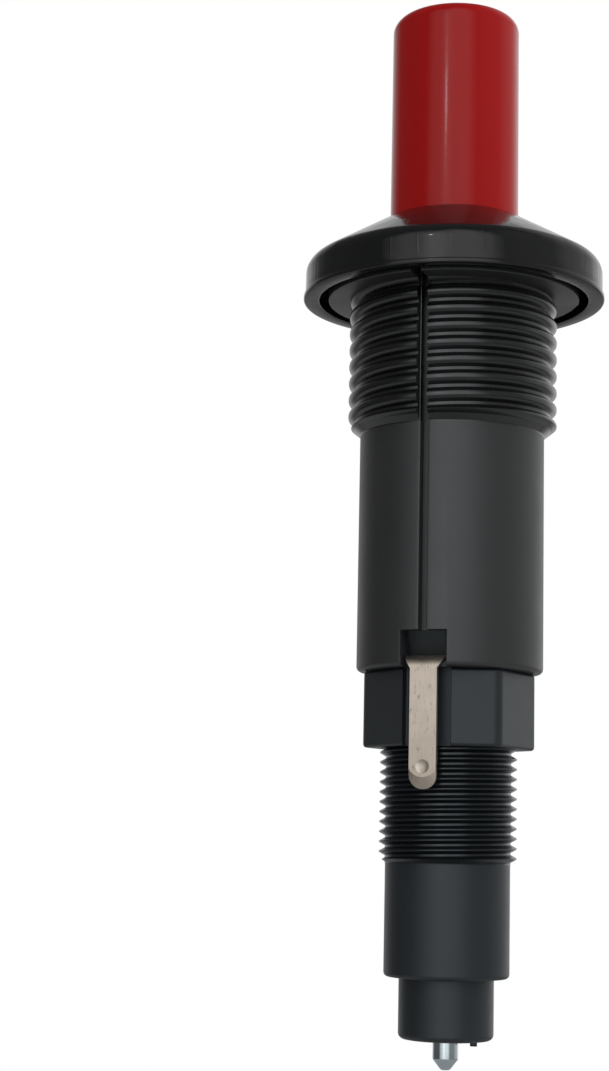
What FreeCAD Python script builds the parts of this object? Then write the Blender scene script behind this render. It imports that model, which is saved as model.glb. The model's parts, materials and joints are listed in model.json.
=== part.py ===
# Push-button piezo igniter for a panel. Pressing the button loads an impact spring, the hammer
# leaves its latch and strikes a stack of two piezo elements, and the spark leaves by the pin.
#
# Millimetres. The origin is the centre of the seating plane, under the bezel's rim. +Z runs up
# the axis to the button. The earth tab faces -Y and the hammer's cross pin lies along X.
import FreeCAD
import Part

import math
import os

import Sketcher
from FreeCAD import Rotation, Vector

# Driving sizes, in millimetres unless the comment says otherwise. Levels follow from them.
SIZES = {
    # Clearances
    "snap_gap": 0.05,             # between pieces that snap or press together
    "slide_gap": 0.2,             # round a piece that slides in another
    "button_gap": 0.25,           # round the button in its bezel
    "rest_gap": 0.05,             # between faces that meet at rest on a moving joint
    # Button
    "button_radius": 6.75,
    "button_top_radius": 6.6,
    "button_rise": 29.2,          # from the seating plane to the edge of the crown
    "crown_height": 2.75,
    "button_wall": 2.1,
    "button_flange_height": 1.6,
    "stroke": 11.0,
    # Bezel
    "bezel_radius": 15.65,
    "bezel_lip": 0.2,             # how far the lip stands out of the rim
    "bezel_lip_height": 0.5,
    "bezel_corner_level": 3.8,    # where the rim and the cone would meet
    "bezel_corner_fillet": 2.7,
    "bezel_slope": 30.0,          # degrees
    "bezel_wall": 1.45,
    "bezel_hub_wall": 1.3,
    "bezel_rib_width": 1.0,
    "bezel_hole_fillet": 0.3,
    # Barrel
    "flange_gap": 1.0,            # between the flange and the bezel's rim
    "flange_height": 2.2,
    "flange_pad_width": 2.3,      # of the sunk pad under the flange, in from its edge
    "flange_pad_depth": 0.25,
    "flange_pad_start": 20.0,     # degrees from +X
    "flange_pad_end": 70.0,       # degrees
    "ledge_rise": 0.5,            # of the bore's end above the seating plane
    "collar_height": 2.3,
    "collar_wall": 0.9,
    "neck_radius": 10.9,          # crest of the panel thread
    "neck_root_radius": 10.32,
    "neck_pitch": 1.78,
    "neck_crest": 0.62,           # width of a crest's flat
    "neck_root": 0.3,             # width of a root's flat
    "neck_length": 14.2,
    "barrel_radius": 9.6,
    "barrel_length": 39.2,        # from the seating plane to the lower edge
    "barrel_wall": 1.4,
    "barrel_edge_fillet": 0.5,
    "key_groove_width": 0.9,
    "key_groove_depth": 0.7,      # below the barrel's plain surface
    "notch_width": 4.85,
    "notch_height": 3.8,
    # Lower housing
    "hex_across_flats": 15.55,
    "hex_height": 7.8,
    "hex_corner_fillet": 1.3,
    "channel_width": 4.9,
    "channel_floor": 6.95,        # from the axis
    "spigot_height": 3.7,
    "mouth_radius": 5.5,          # bore round the plunger's lower end
    "stack_bore_radius": 4.0,
    "stack_floor_height": 0.6,    # of the stack's floor above the tip
    "fixing_radius": 7.0,         # outside of the M14 fixing thread
    "fixing_root_radius": 6.4,
    "fixing_pitch": 1.0,
    "fixing_crest": 0.14,         # width of a crest's flat
    "fixing_root": 0.2,           # width of a root's flat
    "fixing_start": 0.7,          # from the hexagon to the middle of the first root
    "fixing_length": 11.6,
    "fixing_chamfer": 0.4,
    "shank_radius": 6.35,
    "shank_length": 11.3,
    "shank_fillet": 0.45,
    "tip_radius": 4.8,
    "tip_length": 6.1,
    "tip_fillet": 0.6,
    "tip_web": 2.0,               # material round the pin below its head
    # Earth terminal
    "tab_width": 2.8,
    "tab_thickness": 0.5,
    "tab_face": 9.0,              # outer face, from the axis
    "tab_drop": 12.1,             # from the barrel's lower edge to the tab's end
    "tab_end_radius": 1.3,
    "dimple_rise": 2.2,           # of the dimple's centre above the tab's end
    "dimple_radius": 0.45,
    "dimple_depth": 0.25,
    "strap_width": 4.2,
    "strap_level": 1.15,          # of the strap's top above the barrel's lower edge
    "strap_shoulder": 1.0,        # length of the wide part below the barrel
    "strap_bend": 0.9,            # outer radius of its bends
    # Pin
    "pin_radius": 1.3,
    "pin_shank_radius": 1.6,      # inside the tip
    "pin_stand": 1.9,             # straight part below the tip
    "pin_point_length": 1.1,
    "pin_point_radius": 0.45,
    "pin_head_radius": 2.1,
    "pin_head_height": 1.0,
    # Striker
    "plunger_radius": 5.2,
    "plunger_wall": 1.1,
    "plunger_top": 12.0,          # above the seating plane
    "plunger_cap": 2.0,
    "plunger_spare": 1.0,         # left under the plunger at full stroke
    "sleeve_length": 15.5,
    "hammer_length": 12.5,
    "hammer_travel": 7.0,
    "hammer_nose_radius": 2.6,
    "hammer_nose_length": 1.2,
    "hammer_seat_radius": 2.2,
    "hammer_seat_height": 1.6,
    "cross_pin_radius": 1.1,
    "cross_pin_rise": 9.5,        # above the hammer's lower face
    "cross_pin_inset": 0.4,       # of its ends inside the sleeve's outer wall
    "lane_gap": 0.3,
    "latch_shelf": 2.4,           # width of the shelf beside the lane
    "latch_fall": 0.5,            # how far the shelf slopes to hold the pin
    "cam_fall": 1.4,              # of the slanted end of the plunger's slot
    # Piezo stack
    "element_radius": 3.175,
    "element_length": 11.2,
    "centre_contact_height": 0.3,
    "end_contact_height": 1.0,
    "contact_nib_radius": 0.8,
    "contact_nib_height": 0.6,
    "anvil_radius": 3.2,
    "anvil_height": 3.6,
    "anvil_stand": 1.5,           # of the anvil above the terminal's seat
    "tube_wall": 0.65,
    # Springs and small rings
    "return_wire": 0.8,
    "return_turns": 5.0,
    "impact_wire": 0.9,
    "impact_turns": 9.0,
    "contact_wire": 0.4,
    "contact_turns": 4.0,
    "contact_radius": 1.7,        # mean
    "stop_ring_height": 1.5,
    "guide_head_height": 1.0,
    "guide_shank_radius": 2.1,
    "guide_shank_length": 6.0,
}

SHEET = "sizes"
BEZEL_RIBS = 6
COIL_RUNS = 12      # straight runs in one turn of a spring
WIRE_SIDES = 6      # sides of a spring wire's section
OVERSHOOT = 1.0     # how far a cutting outline reaches past the material


class Size:
    """A value with the expression that keeps it tied to the sheet."""

    def __init__(self, value, text):
        self.value = value
        self.text = text

    def __add__(self, other):
        other = as_size(other)
        return Size(self.value + other.value, f"({self.text} + {other.text})")

    def __sub__(self, other):
        other = as_size(other)
        return Size(self.value - other.value, f"({self.text} - {other.text})")

    def __mul__(self, other):
        other = as_size(other)
        return Size(self.value * other.value, f"({self.text} * {other.text})")

    def __truediv__(self, other):
        other = as_size(other)
        return Size(self.value / other.value, f"({self.text} / {other.text})")

    def __neg__(self):
        return Size(-self.value, f"(0 - {self.text})")

    def tangent(self):
        return Size(math.tan(math.radians(self.value)), f"tan({self.text} * 1 deg)")

    def cosine(self):
        return Size(math.cos(math.radians(self.value)), f"cos({self.text} * 1 deg)")

    def sine(self):
        return Size(math.sin(math.radians(self.value)), f"sin({self.text} * 1 deg)")


def as_size(value):
    return value if isinstance(value, Size) else Size(float(value), f"{float(value):.9f}")


class Arc:
    """A round stretch between two corners, with its centre left or right of the way along."""

    def __init__(self, radius, left):
        self.radius = radius
        self.left = left

    def geometry(self, start, end):
        """The arc as the sketch holds it, always counter-clockwise."""
        chord = end - start
        reach = math.sqrt(max(self.radius.value**2 - (chord.Length / 2) ** 2, 0.0))
        side = Vector(-chord.y, chord.x, 0).normalize()
        centre = (start + end) / 2 + side * (reach if self.left else -reach)
        first, last = (start, end) if self.left else (end, start)
        turn_from = math.atan2(first.y - centre.y, first.x - centre.x)
        turn_to = math.atan2(last.y - centre.y, last.x - centre.x)
        circle = Part.Circle(centre, Vector(0, 0, 1), self.radius.value)
        return Part.ArcOfCircle(circle, turn_from, turn_to)


class Sheet:
    """The driving sizes as named cells, read back as sizes tied to them."""

    def __init__(self, doc):
        self._cells = doc.addObject("Spreadsheet::Sheet", SHEET)
        for row, (name, value) in enumerate(SIZES.items(), start=1):
            self._cells.set(f"A{row}", name)
            self._cells.set(f"B{row}", str(value))
            self._cells.setAlias(f"B{row}", name)
        doc.recompute()

    def __getattr__(self, name):
        return Size(float(self._cells.get(name)), f"{SHEET}.{name}")


class Levels:
    """Heights that several pieces share, worked out from the driving sizes."""

    def __init__(self, s):
        self.barrel_end = -s.barrel_length
        self.hex_end = self.barrel_end - s.hex_height
        self.fixing_end = self.hex_end - s.fixing_length
        self.shank_end = self.fixing_end - s.shank_length
        self.tip_end = self.shank_end - s.tip_length
        self.stack_floor = self.shank_end + s.stack_floor_height
        self.lower_element = self.stack_floor + s.end_contact_height
        self.centre_contact = self.lower_element + s.element_length
        self.upper_element = self.centre_contact + s.centre_contact_height
        self.anvil = self.upper_element + s.element_length
        self.anvil_top = self.anvil + s.anvil_height
        self.terminal_seat = self.anvil_top - s.anvil_stand
        self.spigot_top = self.barrel_end + s.spigot_height
        self.sleeve_top = self.spigot_top + s.sleeve_length
        self.plunger_end = self.terminal_seat + s.tab_thickness + s.plunger_spare + s.stroke
        self.hammer_end = self.anvil_top + s.hammer_travel
        self.hammer_top = self.hammer_end + s.hammer_length
        self.cross_pin = self.hammer_end + s.cross_pin_rise
        self.stop_ring_end = s.ledge_rise - s.stop_ring_height
        self.button_flange_top = self.stop_ring_end - s.rest_gap
        self.button_flange_end = self.button_flange_top - s.button_flange_height
        self.collar_top = s.flange_height + s.collar_height
        self.guide_head = s.plunger_top - s.plunger_cap - s.guide_head_height
        self.pin_head_seat = self.tip_end + s.tip_web
        self.pin_head_top = self.pin_head_seat + s.pin_head_height
        self.strap_top = self.barrel_end + s.strap_level
        self.tab_end = self.barrel_end - s.tab_drop
        self.notch_top = self.barrel_end + s.notch_height


class Radii:
    """Radii that follow from a neighbour and a clearance."""

    def __init__(self, s):
        self.button_hole = s.button_radius + s.button_gap
        self.collar = self.button_hole + s.collar_wall
        self.rim_bore = s.bezel_radius - s.bezel_wall
        self.flange = self.rim_bore - s.flange_gap
        self.barrel_bore = s.barrel_radius - s.barrel_wall
        self.spigot = self.barrel_bore - s.snap_gap
        self.button_flange = self.barrel_bore - s.slide_gap
        self.sleeve_bore = s.plunger_radius + s.slide_gap
        self.plunger_bore = s.plunger_radius - s.plunger_wall
        self.hammer = self.plunger_bore - s.slide_gap
        self.tube = s.stack_bore_radius - s.snap_gap
        self.tube_bore = self.tube - s.tube_wall
        self.lane = s.cross_pin_radius + s.lane_gap
        self.return_coil = (self.barrel_bore + s.plunger_radius) / 2
        self.impact_coil = (self.plunger_bore + s.hammer_seat_radius) / 2


class Thread:
    """The sizes of a thread that is cut as rings, with one root at each pitch."""

    def __init__(self, radius, root_radius, pitch, crest, root):
        self.radius = radius
        self.root_radius = root_radius
        self.pitch = pitch
        self.half_root = root / 2
        self.half_mouth = (pitch - crest) / 2


def plane(body, role):
    return next(f for f in body.Origin.OriginFeatures if f.Role == role)


def new_body(doc, label):
    body = doc.addObject("PartDesign::Body", label)
    body.Label = label
    return body


def outline(body, name, role, *loops, offset=None):
    """A sketch on one of the body's own planes, its corners tied to the sheet.

    On XZ_Plane a corner is (x, z), on YZ_Plane (y, z) and on XY_Plane (x, y). An Arc between
    two corners makes that stretch round.
    """
    sketch = body.newObject("Sketcher::SketchObject", name)
    sketch.AttachmentSupport = [(plane(body, role), "")]
    sketch.MapMode = "FlatFace"
    if offset is not None:
        sketch.setExpression("AttachmentOffset.Base.z", offset.text)
    for loop in loops:
        add_loop(sketch, loop)
    return sketch


def add_loop(sketch, items):
    """Adds one closed chain of lines and arcs and ties each corner by its two distances."""
    corners = []
    arcs = {}
    for item in items:
        if isinstance(item, Arc):
            arcs[len(corners) - 1] = item
        else:
            corners.append((as_size(item[0]), as_size(item[1])))
    flat = [Vector(a.value, b.value, 0) for a, b in corners]
    count = len(flat)
    stretches = []
    for k in range(count):
        here, there, arc = flat[k], flat[(k + 1) % count], arcs.get(k)
        if arc is None:
            stretches.append((sketch.addGeometry(Part.LineSegment(here, there)), 1, 2))
            continue
        index = sketch.addGeometry(arc.geometry(here, there))
        stretches.append((index, 1, 2) if arc.left else (index, 2, 1))
    for k, (index, _, end) in enumerate(stretches):
        following, start, _ = stretches[(k + 1) % count]
        sketch.addConstraint(Sketcher.Constraint("Coincident", index, end, following, start))
    for (index, start, _), pair in zip(stretches, corners):
        for kind, size in zip(("DistanceX", "DistanceY"), pair):
            tie = sketch.addConstraint(Sketcher.Constraint(kind, -1, 1, index, start, size.value))
            sketch.setExpression(f"Constraints[{tie}]", size.text)
    for k, arc in arcs.items():
        tie = sketch.addConstraint(Sketcher.Constraint("Radius", stretches[k][0], arc.radius.value))
        sketch.setExpression(f"Constraints[{tie}]", arc.radius.text)


def add_circle(sketch, x, y, radius):
    """Adds a circle whose centre and radius are tied to the sheet."""
    x, y = as_size(x), as_size(y)
    centre = Vector(x.value, y.value, 0)
    index = sketch.addGeometry(Part.Circle(centre, Vector(0, 0, 1), radius.value))
    for kind, size in (("DistanceX", x), ("DistanceY", y)):
        tie = sketch.addConstraint(Sketcher.Constraint(kind, -1, 1, index, 3, size.value))
        sketch.setExpression(f"Constraints[{tie}]", size.text)
    tie = sketch.addConstraint(Sketcher.Constraint("Radius", index, radius.value))
    sketch.setExpression(f"Constraints[{tie}]", radius.text)


def rectangle(left, bottom, right, top):
    return [(left, bottom), (right, bottom), (right, top), (left, top)]


def finished(body, feature, changes=True):
    """Recomputes, and stops if a feature that should change the body did not."""
    before = body.Shape.Volume if body.Shape.Solids else 0.0
    body.Document.recompute()
    if changes and abs(body.Shape.Volume - before) < 1e-6:
        raise RuntimeError(f"{feature.Name} changed nothing")
    return feature


def revolved(body, sketch, name, kind="PartDesign::Revolution"):
    turned = body.newObject(kind, name)
    turned.Profile = sketch
    turned.ReferenceAxis = (sketch, ["V_Axis"])
    turned.Angle = 360
    return finished(body, turned)


def turned_body(doc, label, *loops):
    """A body turned about the axis from its half section, given as (radius, level)."""
    body = new_body(doc, label)
    revolved(body, outline(body, label + "_section", "XZ_Plane", *loops), label + "_turned")
    return body


def extruded(body, sketch, name, length, kind="PartDesign::Pad", reverse=False, both=False):
    feature = body.newObject(kind, name)
    feature.Profile = sketch
    feature.setExpression("Length", as_size(length).text)
    feature.Reversed = reverse
    feature.Midplane = both
    return finished(body, feature)


def pocketed(body, sketch, name, length, reverse=False, both=False):
    return extruded(body, sketch, name, length, "PartDesign::Pocket", reverse, both)


def repeated_round(body, feature, count):
    """Repeats a feature at even angles round the body's axis."""
    pattern = body.newObject("PartDesign::PolarPattern", feature.Name + "_round")
    pattern.Originals = [feature]
    pattern.Axis = (plane(body, "Z_Axis"), [""])
    pattern.Angle = 360
    pattern.Occurrences = count
    body.Tip = pattern
    return finished(body, pattern)


def filleted(body, name, radius, test):
    """Rounds the edges of the body that pass the test."""
    base = body.Tip
    names = [f"Edge{k}" for k, edge in enumerate(base.Shape.Edges, start=1) if test(edge)]
    if not names:
        raise RuntimeError(f"{name} found no edge")
    fillet = body.newObject("PartDesign::Fillet", name)
    fillet.Base = (base, names)
    fillet.setExpression("Radius", as_size(radius).text)
    return finished(body, fillet)


def ring_at(radius, level):
    """A test for circular edges about the axis with this radius and level."""
    def test(edge):
        curve = edge.Curve
        if not isinstance(curve, Part.Circle):
            return False
        off_axis = math.hypot(curve.Center.x, curve.Center.y)
        return (off_axis < 1e-3 and abs(curve.Radius - radius.value) < 1e-3
                and abs(curve.Center.z - level.value) < 1e-3)
    return test


def upright_between(low, high, radius):
    """A test for straight edges that run from low to high at this distance from the axis."""
    def test(edge):
        ends = [v.Point for v in edge.Vertexes]
        if len(ends) != 2 or math.hypot(ends[0].x - ends[1].x, ends[0].y - ends[1].y) > 1e-3:
            return False
        bottom, top = sorted(p.z for p in ends)
        return (abs(bottom - low.value) < 1e-3 and abs(top - high.value) < 1e-3
                and abs(math.hypot(ends[0].x, ends[0].y) - radius.value) < 1e-3)
    return test


def make_button(doc, s, at, r):
    """Hollow push button: retaining flange, drafted side, domed crown, seat for the plunger."""
    socket = s.plunger_radius + s.snap_gap
    core = s.button_top_radius - s.button_wall
    core_top = s.button_rise - s.button_wall
    edge, rise = s.button_top_radius, s.crown_height
    crown = (edge * edge + rise * rise) / (rise * 2)
    return turned_body(doc, "button", [
        (socket, at.button_flange_end),
        (r.button_flange, at.button_flange_end),
        (r.button_flange, at.button_flange_top),
        (s.button_radius, at.button_flange_top),
        (s.button_radius, at.collar_top),
        (s.button_top_radius, s.button_rise),
        Arc(crown, left=True),
        (0, s.button_rise + s.crown_height),
        (0, core_top),
        (core, core_top),
        (core, s.plunger_top),
        (socket, s.plunger_top),
    ])


def make_bezel(doc, s, at, r):
    """Domed cap: lipped rim, cone up to the button, hub on the collar and ribs between them."""
    slope = s.bezel_slope.tangent()
    skin = s.bezel_wall / s.bezel_slope.cosine()
    seat = r.collar + s.snap_gap
    hub = seat + s.bezel_hub_wall
    lip = s.bezel_radius + s.bezel_lip
    inner_fillet = s.bezel_corner_fillet - s.bezel_wall

    def cone(radius):
        return s.bezel_corner_level + (s.bezel_radius - radius) * slope

    ceiling = cone(r.rim_bore) - skin
    body = turned_body(doc, "bezel", [
        (r.rim_bore, 0),
        (lip, 0),
        (lip, s.bezel_lip_height),
        (s.bezel_radius, s.bezel_lip_height),
        (s.bezel_radius, s.bezel_corner_level),
        (r.button_hole, cone(r.button_hole)),
        (r.button_hole, at.collar_top + s.snap_gap),
        (seat, at.collar_top + s.snap_gap),
        (seat, s.flange_height),
        (hub, s.flange_height),
        (hub, cone(hub) - skin),
        (r.rim_bore, ceiling),
    ])
    corner = ring_at(s.bezel_radius, s.bezel_corner_level)
    filleted(body, "rim_round", s.bezel_corner_fillet, corner)
    filleted(body, "rim_bore_round", inner_fillet, ring_at(r.rim_bore, ceiling))
    hole = ring_at(r.button_hole, cone(r.button_hole))
    filleted(body, "hole_round", s.bezel_hole_fillet, hole)
    in_hub = hub - s.bezel_hub_wall / 2
    in_rim = r.rim_bore - s.bezel_wall
    rib = outline(body, "rib_section", "XZ_Plane", [
        (in_hub, s.flange_height),
        (in_rim, s.flange_height),
        (in_rim, cone(in_rim) - skin / 2),
        (in_hub, cone(in_hub) - skin / 2),
    ])
    repeated_round(body, extruded(body, rib, "rib", s.bezel_rib_width, both=True), BEZEL_RIBS)
    return body


def make_barrel(doc, s, at, r):
    """Moulded barrel: flange and collar, threaded neck, key groove and the terminal's notch."""
    body = turned_body(doc, "barrel", [
        (r.button_hole, s.ledge_rise),
        (r.barrel_bore, s.ledge_rise),
        (r.barrel_bore, at.barrel_end),
        (s.barrel_radius, at.barrel_end),
        (s.barrel_radius, -s.neck_length),
        (s.neck_radius, -s.neck_length),
        (s.neck_radius, 0),
        (r.flange, 0),
        (r.flange, s.flange_height),
        (r.collar, s.flange_height),
        (r.collar, at.collar_top),
        (r.button_hole, at.collar_top),
    ])
    filleted(body, "barrel_edge", s.barrel_edge_fillet, ring_at(s.barrel_radius, at.barrel_end))
    thread = Thread(s.neck_radius, s.neck_root_radius, s.neck_pitch, s.neck_crest, s.neck_root)
    thread_roots(body, thread, thread.half_root - thread.pitch, -s.neck_length)

    half_groove = s.key_groove_width / 2
    groove_end = at.notch_top - s.snap_gap
    groove_start = s.flange_height + OVERSHOOT
    groove = outline(body, "key_groove_face", "XZ_Plane",
                     rectangle(-half_groove, groove_end, half_groove, groove_start),
                     offset=s.barrel_radius - s.key_groove_depth)
    pocketed(body, groove, "key_groove", r.flange, reverse=True)

    half_notch = s.notch_width / 2
    notch = outline(body, "notch_face", "XZ_Plane",
                    rectangle(-half_notch, at.barrel_end - OVERSHOOT, half_notch, at.notch_top),
                    offset=r.barrel_bore / 2)
    pocketed(body, notch, "notch", s.barrel_radius, reverse=True)

    inner, outer = r.flange - s.flange_pad_width, r.flange + OVERSHOOT
    start, end = s.flange_pad_start, s.flange_pad_end
    pad = outline(body, "flange_pad_face", "XY_Plane", sector(inner, outer, start, end))
    pocketed(body, pad, "flange_pad", s.flange_pad_depth, reverse=True)
    return body


def sector(inner, outer, start, end):
    """Corners of a patch between two angles in degrees, with round sides at two radii."""
    def corner(radius, angle):
        return radius * angle.cosine(), radius * angle.sine()

    return [
        corner(inner, start),
        corner(outer, start),
        Arc(outer, left=True),
        corner(outer, end),
        corner(inner, end),
        Arc(inner, left=False),
    ]


def thread_roots(body, thread, first, end):
    """Cuts a thread's roots downwards, from the middle of the first one to the thread's end."""
    depth = thread.radius - thread.root_radius
    past = as_size(OVERSHOOT) / 4
    half_past = thread.half_mouth + (thread.half_mouth - thread.half_root) * past / depth
    root = outline(body, "root_section", "XZ_Plane", [
        (thread.root_radius, first - thread.half_root),
        (thread.radius + past, first - half_past),
        (thread.radius + past, first + half_past),
        (thread.root_radius, first + thread.half_root),
    ])
    cut = revolved(body, root, "root", "PartDesign::Groove")
    pattern = body.newObject("PartDesign::LinearPattern", "roots")
    pattern.Originals = [cut]
    pattern.Direction = (root, ["V_Axis"])
    pattern.Reversed = True
    more = f"floor(({(first - end - thread.half_mouth).text}) / {thread.pitch.text})"
    pattern.setExpression("Occurrences", f"{more} + 1")
    pattern.setExpression("Length", f"{more} * {thread.pitch.text}")
    body.Tip = pattern
    finished(body, pattern)


def make_lower_housing(doc, s, at, r):
    """Insulating housing: spigot, hexagon, fixing thread, shank, tip and the stack's bores."""
    body = turned_body(doc, "lower_housing", [
        (0, at.tip_end),
        (s.tip_radius, at.tip_end),
        (s.tip_radius, at.shank_end),
        (s.shank_radius, at.shank_end),
        (s.shank_radius, at.fixing_end),
        (s.fixing_radius - s.fixing_chamfer, at.fixing_end),
        (s.fixing_radius, at.fixing_end + s.fixing_chamfer),
        (s.fixing_radius, at.barrel_end),
        (r.spigot, at.barrel_end),
        (r.spigot, at.spigot_top),
        (0, at.spigot_top),
    ])
    filleted(body, "shank_edge", s.shank_fillet, ring_at(s.shank_radius, at.shank_end))
    filleted(body, "tip_edge", s.tip_fillet, ring_at(s.tip_radius, at.tip_end))
    thread = Thread(s.fixing_radius, s.fixing_root_radius, s.fixing_pitch, s.fixing_crest, s.fixing_root)
    thread_roots(body, thread, at.hex_end - s.fixing_start, at.fixing_end + s.fixing_chamfer)

    corner = s.hex_across_flats / math.sqrt(3)
    turns = [math.radians(60 * k - 90) for k in range(6)]
    hexagon = outline(body, "hexagon", "XY_Plane",
                      [(corner * math.cos(turn), corner * math.sin(turn)) for turn in turns],
                      offset=at.hex_end)
    extruded(body, hexagon, "hex_boss", s.hex_height)
    corners = upright_between(at.hex_end, at.barrel_end, corner)
    filleted(body, "hex_corners", s.hex_corner_fillet, corners)

    spring_bore = s.pin_head_radius + s.snap_gap
    pin_bore = s.pin_shank_radius + s.snap_gap
    bores = outline(body, "bores", "XZ_Plane", [
        (0, at.spigot_top + OVERSHOOT),
        (0, at.tip_end - OVERSHOOT),
        (pin_bore, at.tip_end - OVERSHOOT),
        (pin_bore, at.pin_head_seat),
        (spring_bore, at.pin_head_seat),
        (spring_bore, at.stack_floor),
        (s.stack_bore_radius, at.stack_floor),
        (s.stack_bore_radius, at.terminal_seat),
        (s.mouth_radius, at.terminal_seat),
        (s.mouth_radius, at.spigot_top + OVERSHOOT),
    ])
    revolved(body, bores, "bore", "PartDesign::Groove")

    half_channel = s.channel_width / 2
    channel = outline(body, "channel_floor", "XY_Plane",
                      rectangle(-half_channel, -(corner + OVERSHOOT), half_channel, -s.channel_floor),
                      offset=at.barrel_end)
    pocketed(body, channel, "channel", s.hex_height)

    half_strap = s.strap_width / 2 + s.snap_gap
    leg_face = s.mouth_radius + s.snap_gap * 3 + s.tab_thickness
    inside = -(s.mouth_radius - s.tab_thickness)
    slot = outline(body, "strap_slot_face", "XY_Plane",
                   rectangle(-half_strap, -(r.spigot + OVERSHOOT), half_strap, inside),
                   offset=at.spigot_top)
    pocketed(body, slot, "strap_slot", s.spigot_height - s.strap_level + s.tab_thickness)
    leg = outline(body, "leg_slot_face", "XY_Plane",
                  rectangle(-half_strap, -leg_face, half_strap, inside),
                  offset=at.spigot_top)
    pocketed(body, leg, "leg_slot", at.spigot_top - at.terminal_seat)
    return body


def make_ground_terminal(doc, s, at, r):
    """Stamped earth terminal: eyelet round the anvil, leg, strap out of the notch, and tab."""
    body = new_body(doc, "ground_terminal")
    sheet = s.tab_thickness
    leg = s.mouth_radius + s.snap_gap
    inner_bend = s.strap_bend - sheet
    strap = outline(body, "strap_section", "YZ_Plane", [
        (-s.tab_face, at.tab_end),
        (-(s.tab_face - sheet), at.tab_end),
        (-(s.tab_face - sheet), at.strap_top - s.strap_bend),
        Arc(inner_bend, left=False),
        (-(s.tab_face - s.strap_bend), at.strap_top - sheet),
        (-(leg + s.strap_bend), at.strap_top - sheet),
        Arc(inner_bend, left=False),
        (-(leg + sheet), at.strap_top - s.strap_bend),
        (-(leg + sheet), at.terminal_seat),
        (-leg, at.terminal_seat),
        (-leg, at.strap_top - s.strap_bend),
        Arc(s.strap_bend, left=True),
        (-(leg + s.strap_bend), at.strap_top),
        (-(s.tab_face - s.strap_bend), at.strap_top),
        Arc(s.strap_bend, left=True),
        (-s.tab_face, at.strap_top - s.strap_bend),
    ])
    extruded(body, strap, "strap", s.strap_width, both=True)

    eyelet = outline(body, "eyelet_face", "XY_Plane", offset=at.terminal_seat)
    add_circle(eyelet, 0, 0, s.mouth_radius - s.slide_gap)
    add_circle(eyelet, 0, 0, s.anvil_radius + s.snap_gap * 2)
    half_strap = s.strap_width / 2
    foot = outline(body, "foot_face", "XY_Plane",
                   rectangle(-half_strap, -(leg + sheet), half_strap, -(s.anvil_radius + s.slide_gap * 4)),
                   offset=at.terminal_seat)
    extruded(body, foot, "foot", sheet)
    extruded(body, eyelet, "eyelet", sheet)

    half_tab = s.tab_width / 2
    shoulder = at.barrel_end - s.strap_shoulder
    sides = outline(body, "tab_sides", "XZ_Plane",
                    rectangle(half_tab, at.tab_end - OVERSHOOT, half_strap + OVERSHOOT, shoulder),
                    rectangle(-(half_strap + OVERSHOOT), at.tab_end - OVERSHOOT, -half_tab, shoulder),
                    offset=leg + sheet * 2)
    pocketed(body, sides, "tab_shape", s.tab_face, reverse=True)

    def tab_corner(edge):
        ends = [v.Point for v in edge.Vertexes]
        on_corner = all(
            abs(abs(p.x) - half_tab.value) < 1e-3 and abs(p.z - at.tab_end.value) < 1e-3
            for p in ends
        )
        return len(ends) == 2 and on_corner and abs(ends[0].x - ends[1].x) < 1e-3

    filleted(body, "tab_end", s.tab_end_radius, tab_corner)
    dimple = outline(body, "dimple_face", "XZ_Plane", offset=s.tab_face - s.dimple_depth)
    add_circle(dimple, 0, at.tab_end + s.dimple_rise, s.dimple_radius)
    pocketed(body, dimple, "dimple", sheet, reverse=True)
    return body


def make_hv_pin(doc, s, at, r):
    """Turned high-voltage pin with a head inside the tip and a rounded point outside."""
    shoulder = at.tip_end - s.pin_stand
    return turned_body(doc, "hv_pin", [
        (0, at.pin_head_top),
        (0, shoulder - s.pin_point_length),
        Arc(s.pin_point_radius, left=True),
        (s.pin_point_radius, shoulder - s.pin_point_length + s.pin_point_radius),
        (s.pin_radius, shoulder),
        (s.pin_radius, at.tip_end),
        (s.pin_shank_radius, at.tip_end),
        (s.pin_shank_radius, at.pin_head_seat),
        (s.pin_head_radius, at.pin_head_seat),
        (s.pin_head_radius, at.pin_head_top),
    ])


def make_plunger(doc, s, at, r):
    """Tube that carries the button, closed on top, with two slots whose ends trip the hammer."""
    body = turned_body(doc, "plunger", [
        (r.plunger_bore, at.plunger_end),
        (s.plunger_radius, at.plunger_end),
        (s.plunger_radius, s.plunger_top),
        (0, s.plunger_top),
        (0, s.plunger_top - s.plunger_cap),
        (r.plunger_bore, s.plunger_top - s.plunger_cap),
    ])
    top = at.cross_pin + s.stroke + r.lane
    slot = outline(body, "slot_face", "YZ_Plane", [
        (-r.lane, at.cross_pin - r.lane),
        (r.lane, at.cross_pin - r.lane),
        (r.lane, top),
        (-r.lane, top + s.cam_fall),
    ])
    repeated_round(body, pocketed(body, slot, "slot", s.plunger_radius + OVERSHOOT, reverse=True), 2)
    return body


def make_latch_sleeve(doc, s, at, r):
    """Fixed sleeve with two lanes for the cross pin, each with a latch shelf at its top."""
    body = turned_body(doc, "latch_sleeve", [
        (r.sleeve_bore, at.spigot_top),
        (r.spigot, at.spigot_top),
        (r.spigot, at.sleeve_top),
        (r.sleeve_bore, at.sleeve_top),
    ])
    shelf = at.cross_pin - r.lane
    lane = outline(body, "lane_face", "YZ_Plane", [
        (-r.lane, at.cross_pin - s.hammer_travel - r.lane),
        (r.lane, at.cross_pin - s.hammer_travel - r.lane),
        (r.lane, shelf),
        (r.lane + s.latch_shelf, shelf - s.latch_fall),
        (r.lane + s.latch_shelf, at.cross_pin + r.lane),
        (-r.lane, at.cross_pin + r.lane),
    ])
    repeated_round(body, pocketed(body, lane, "lane", r.spigot + OVERSHOOT, reverse=True), 2)
    return body


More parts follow.
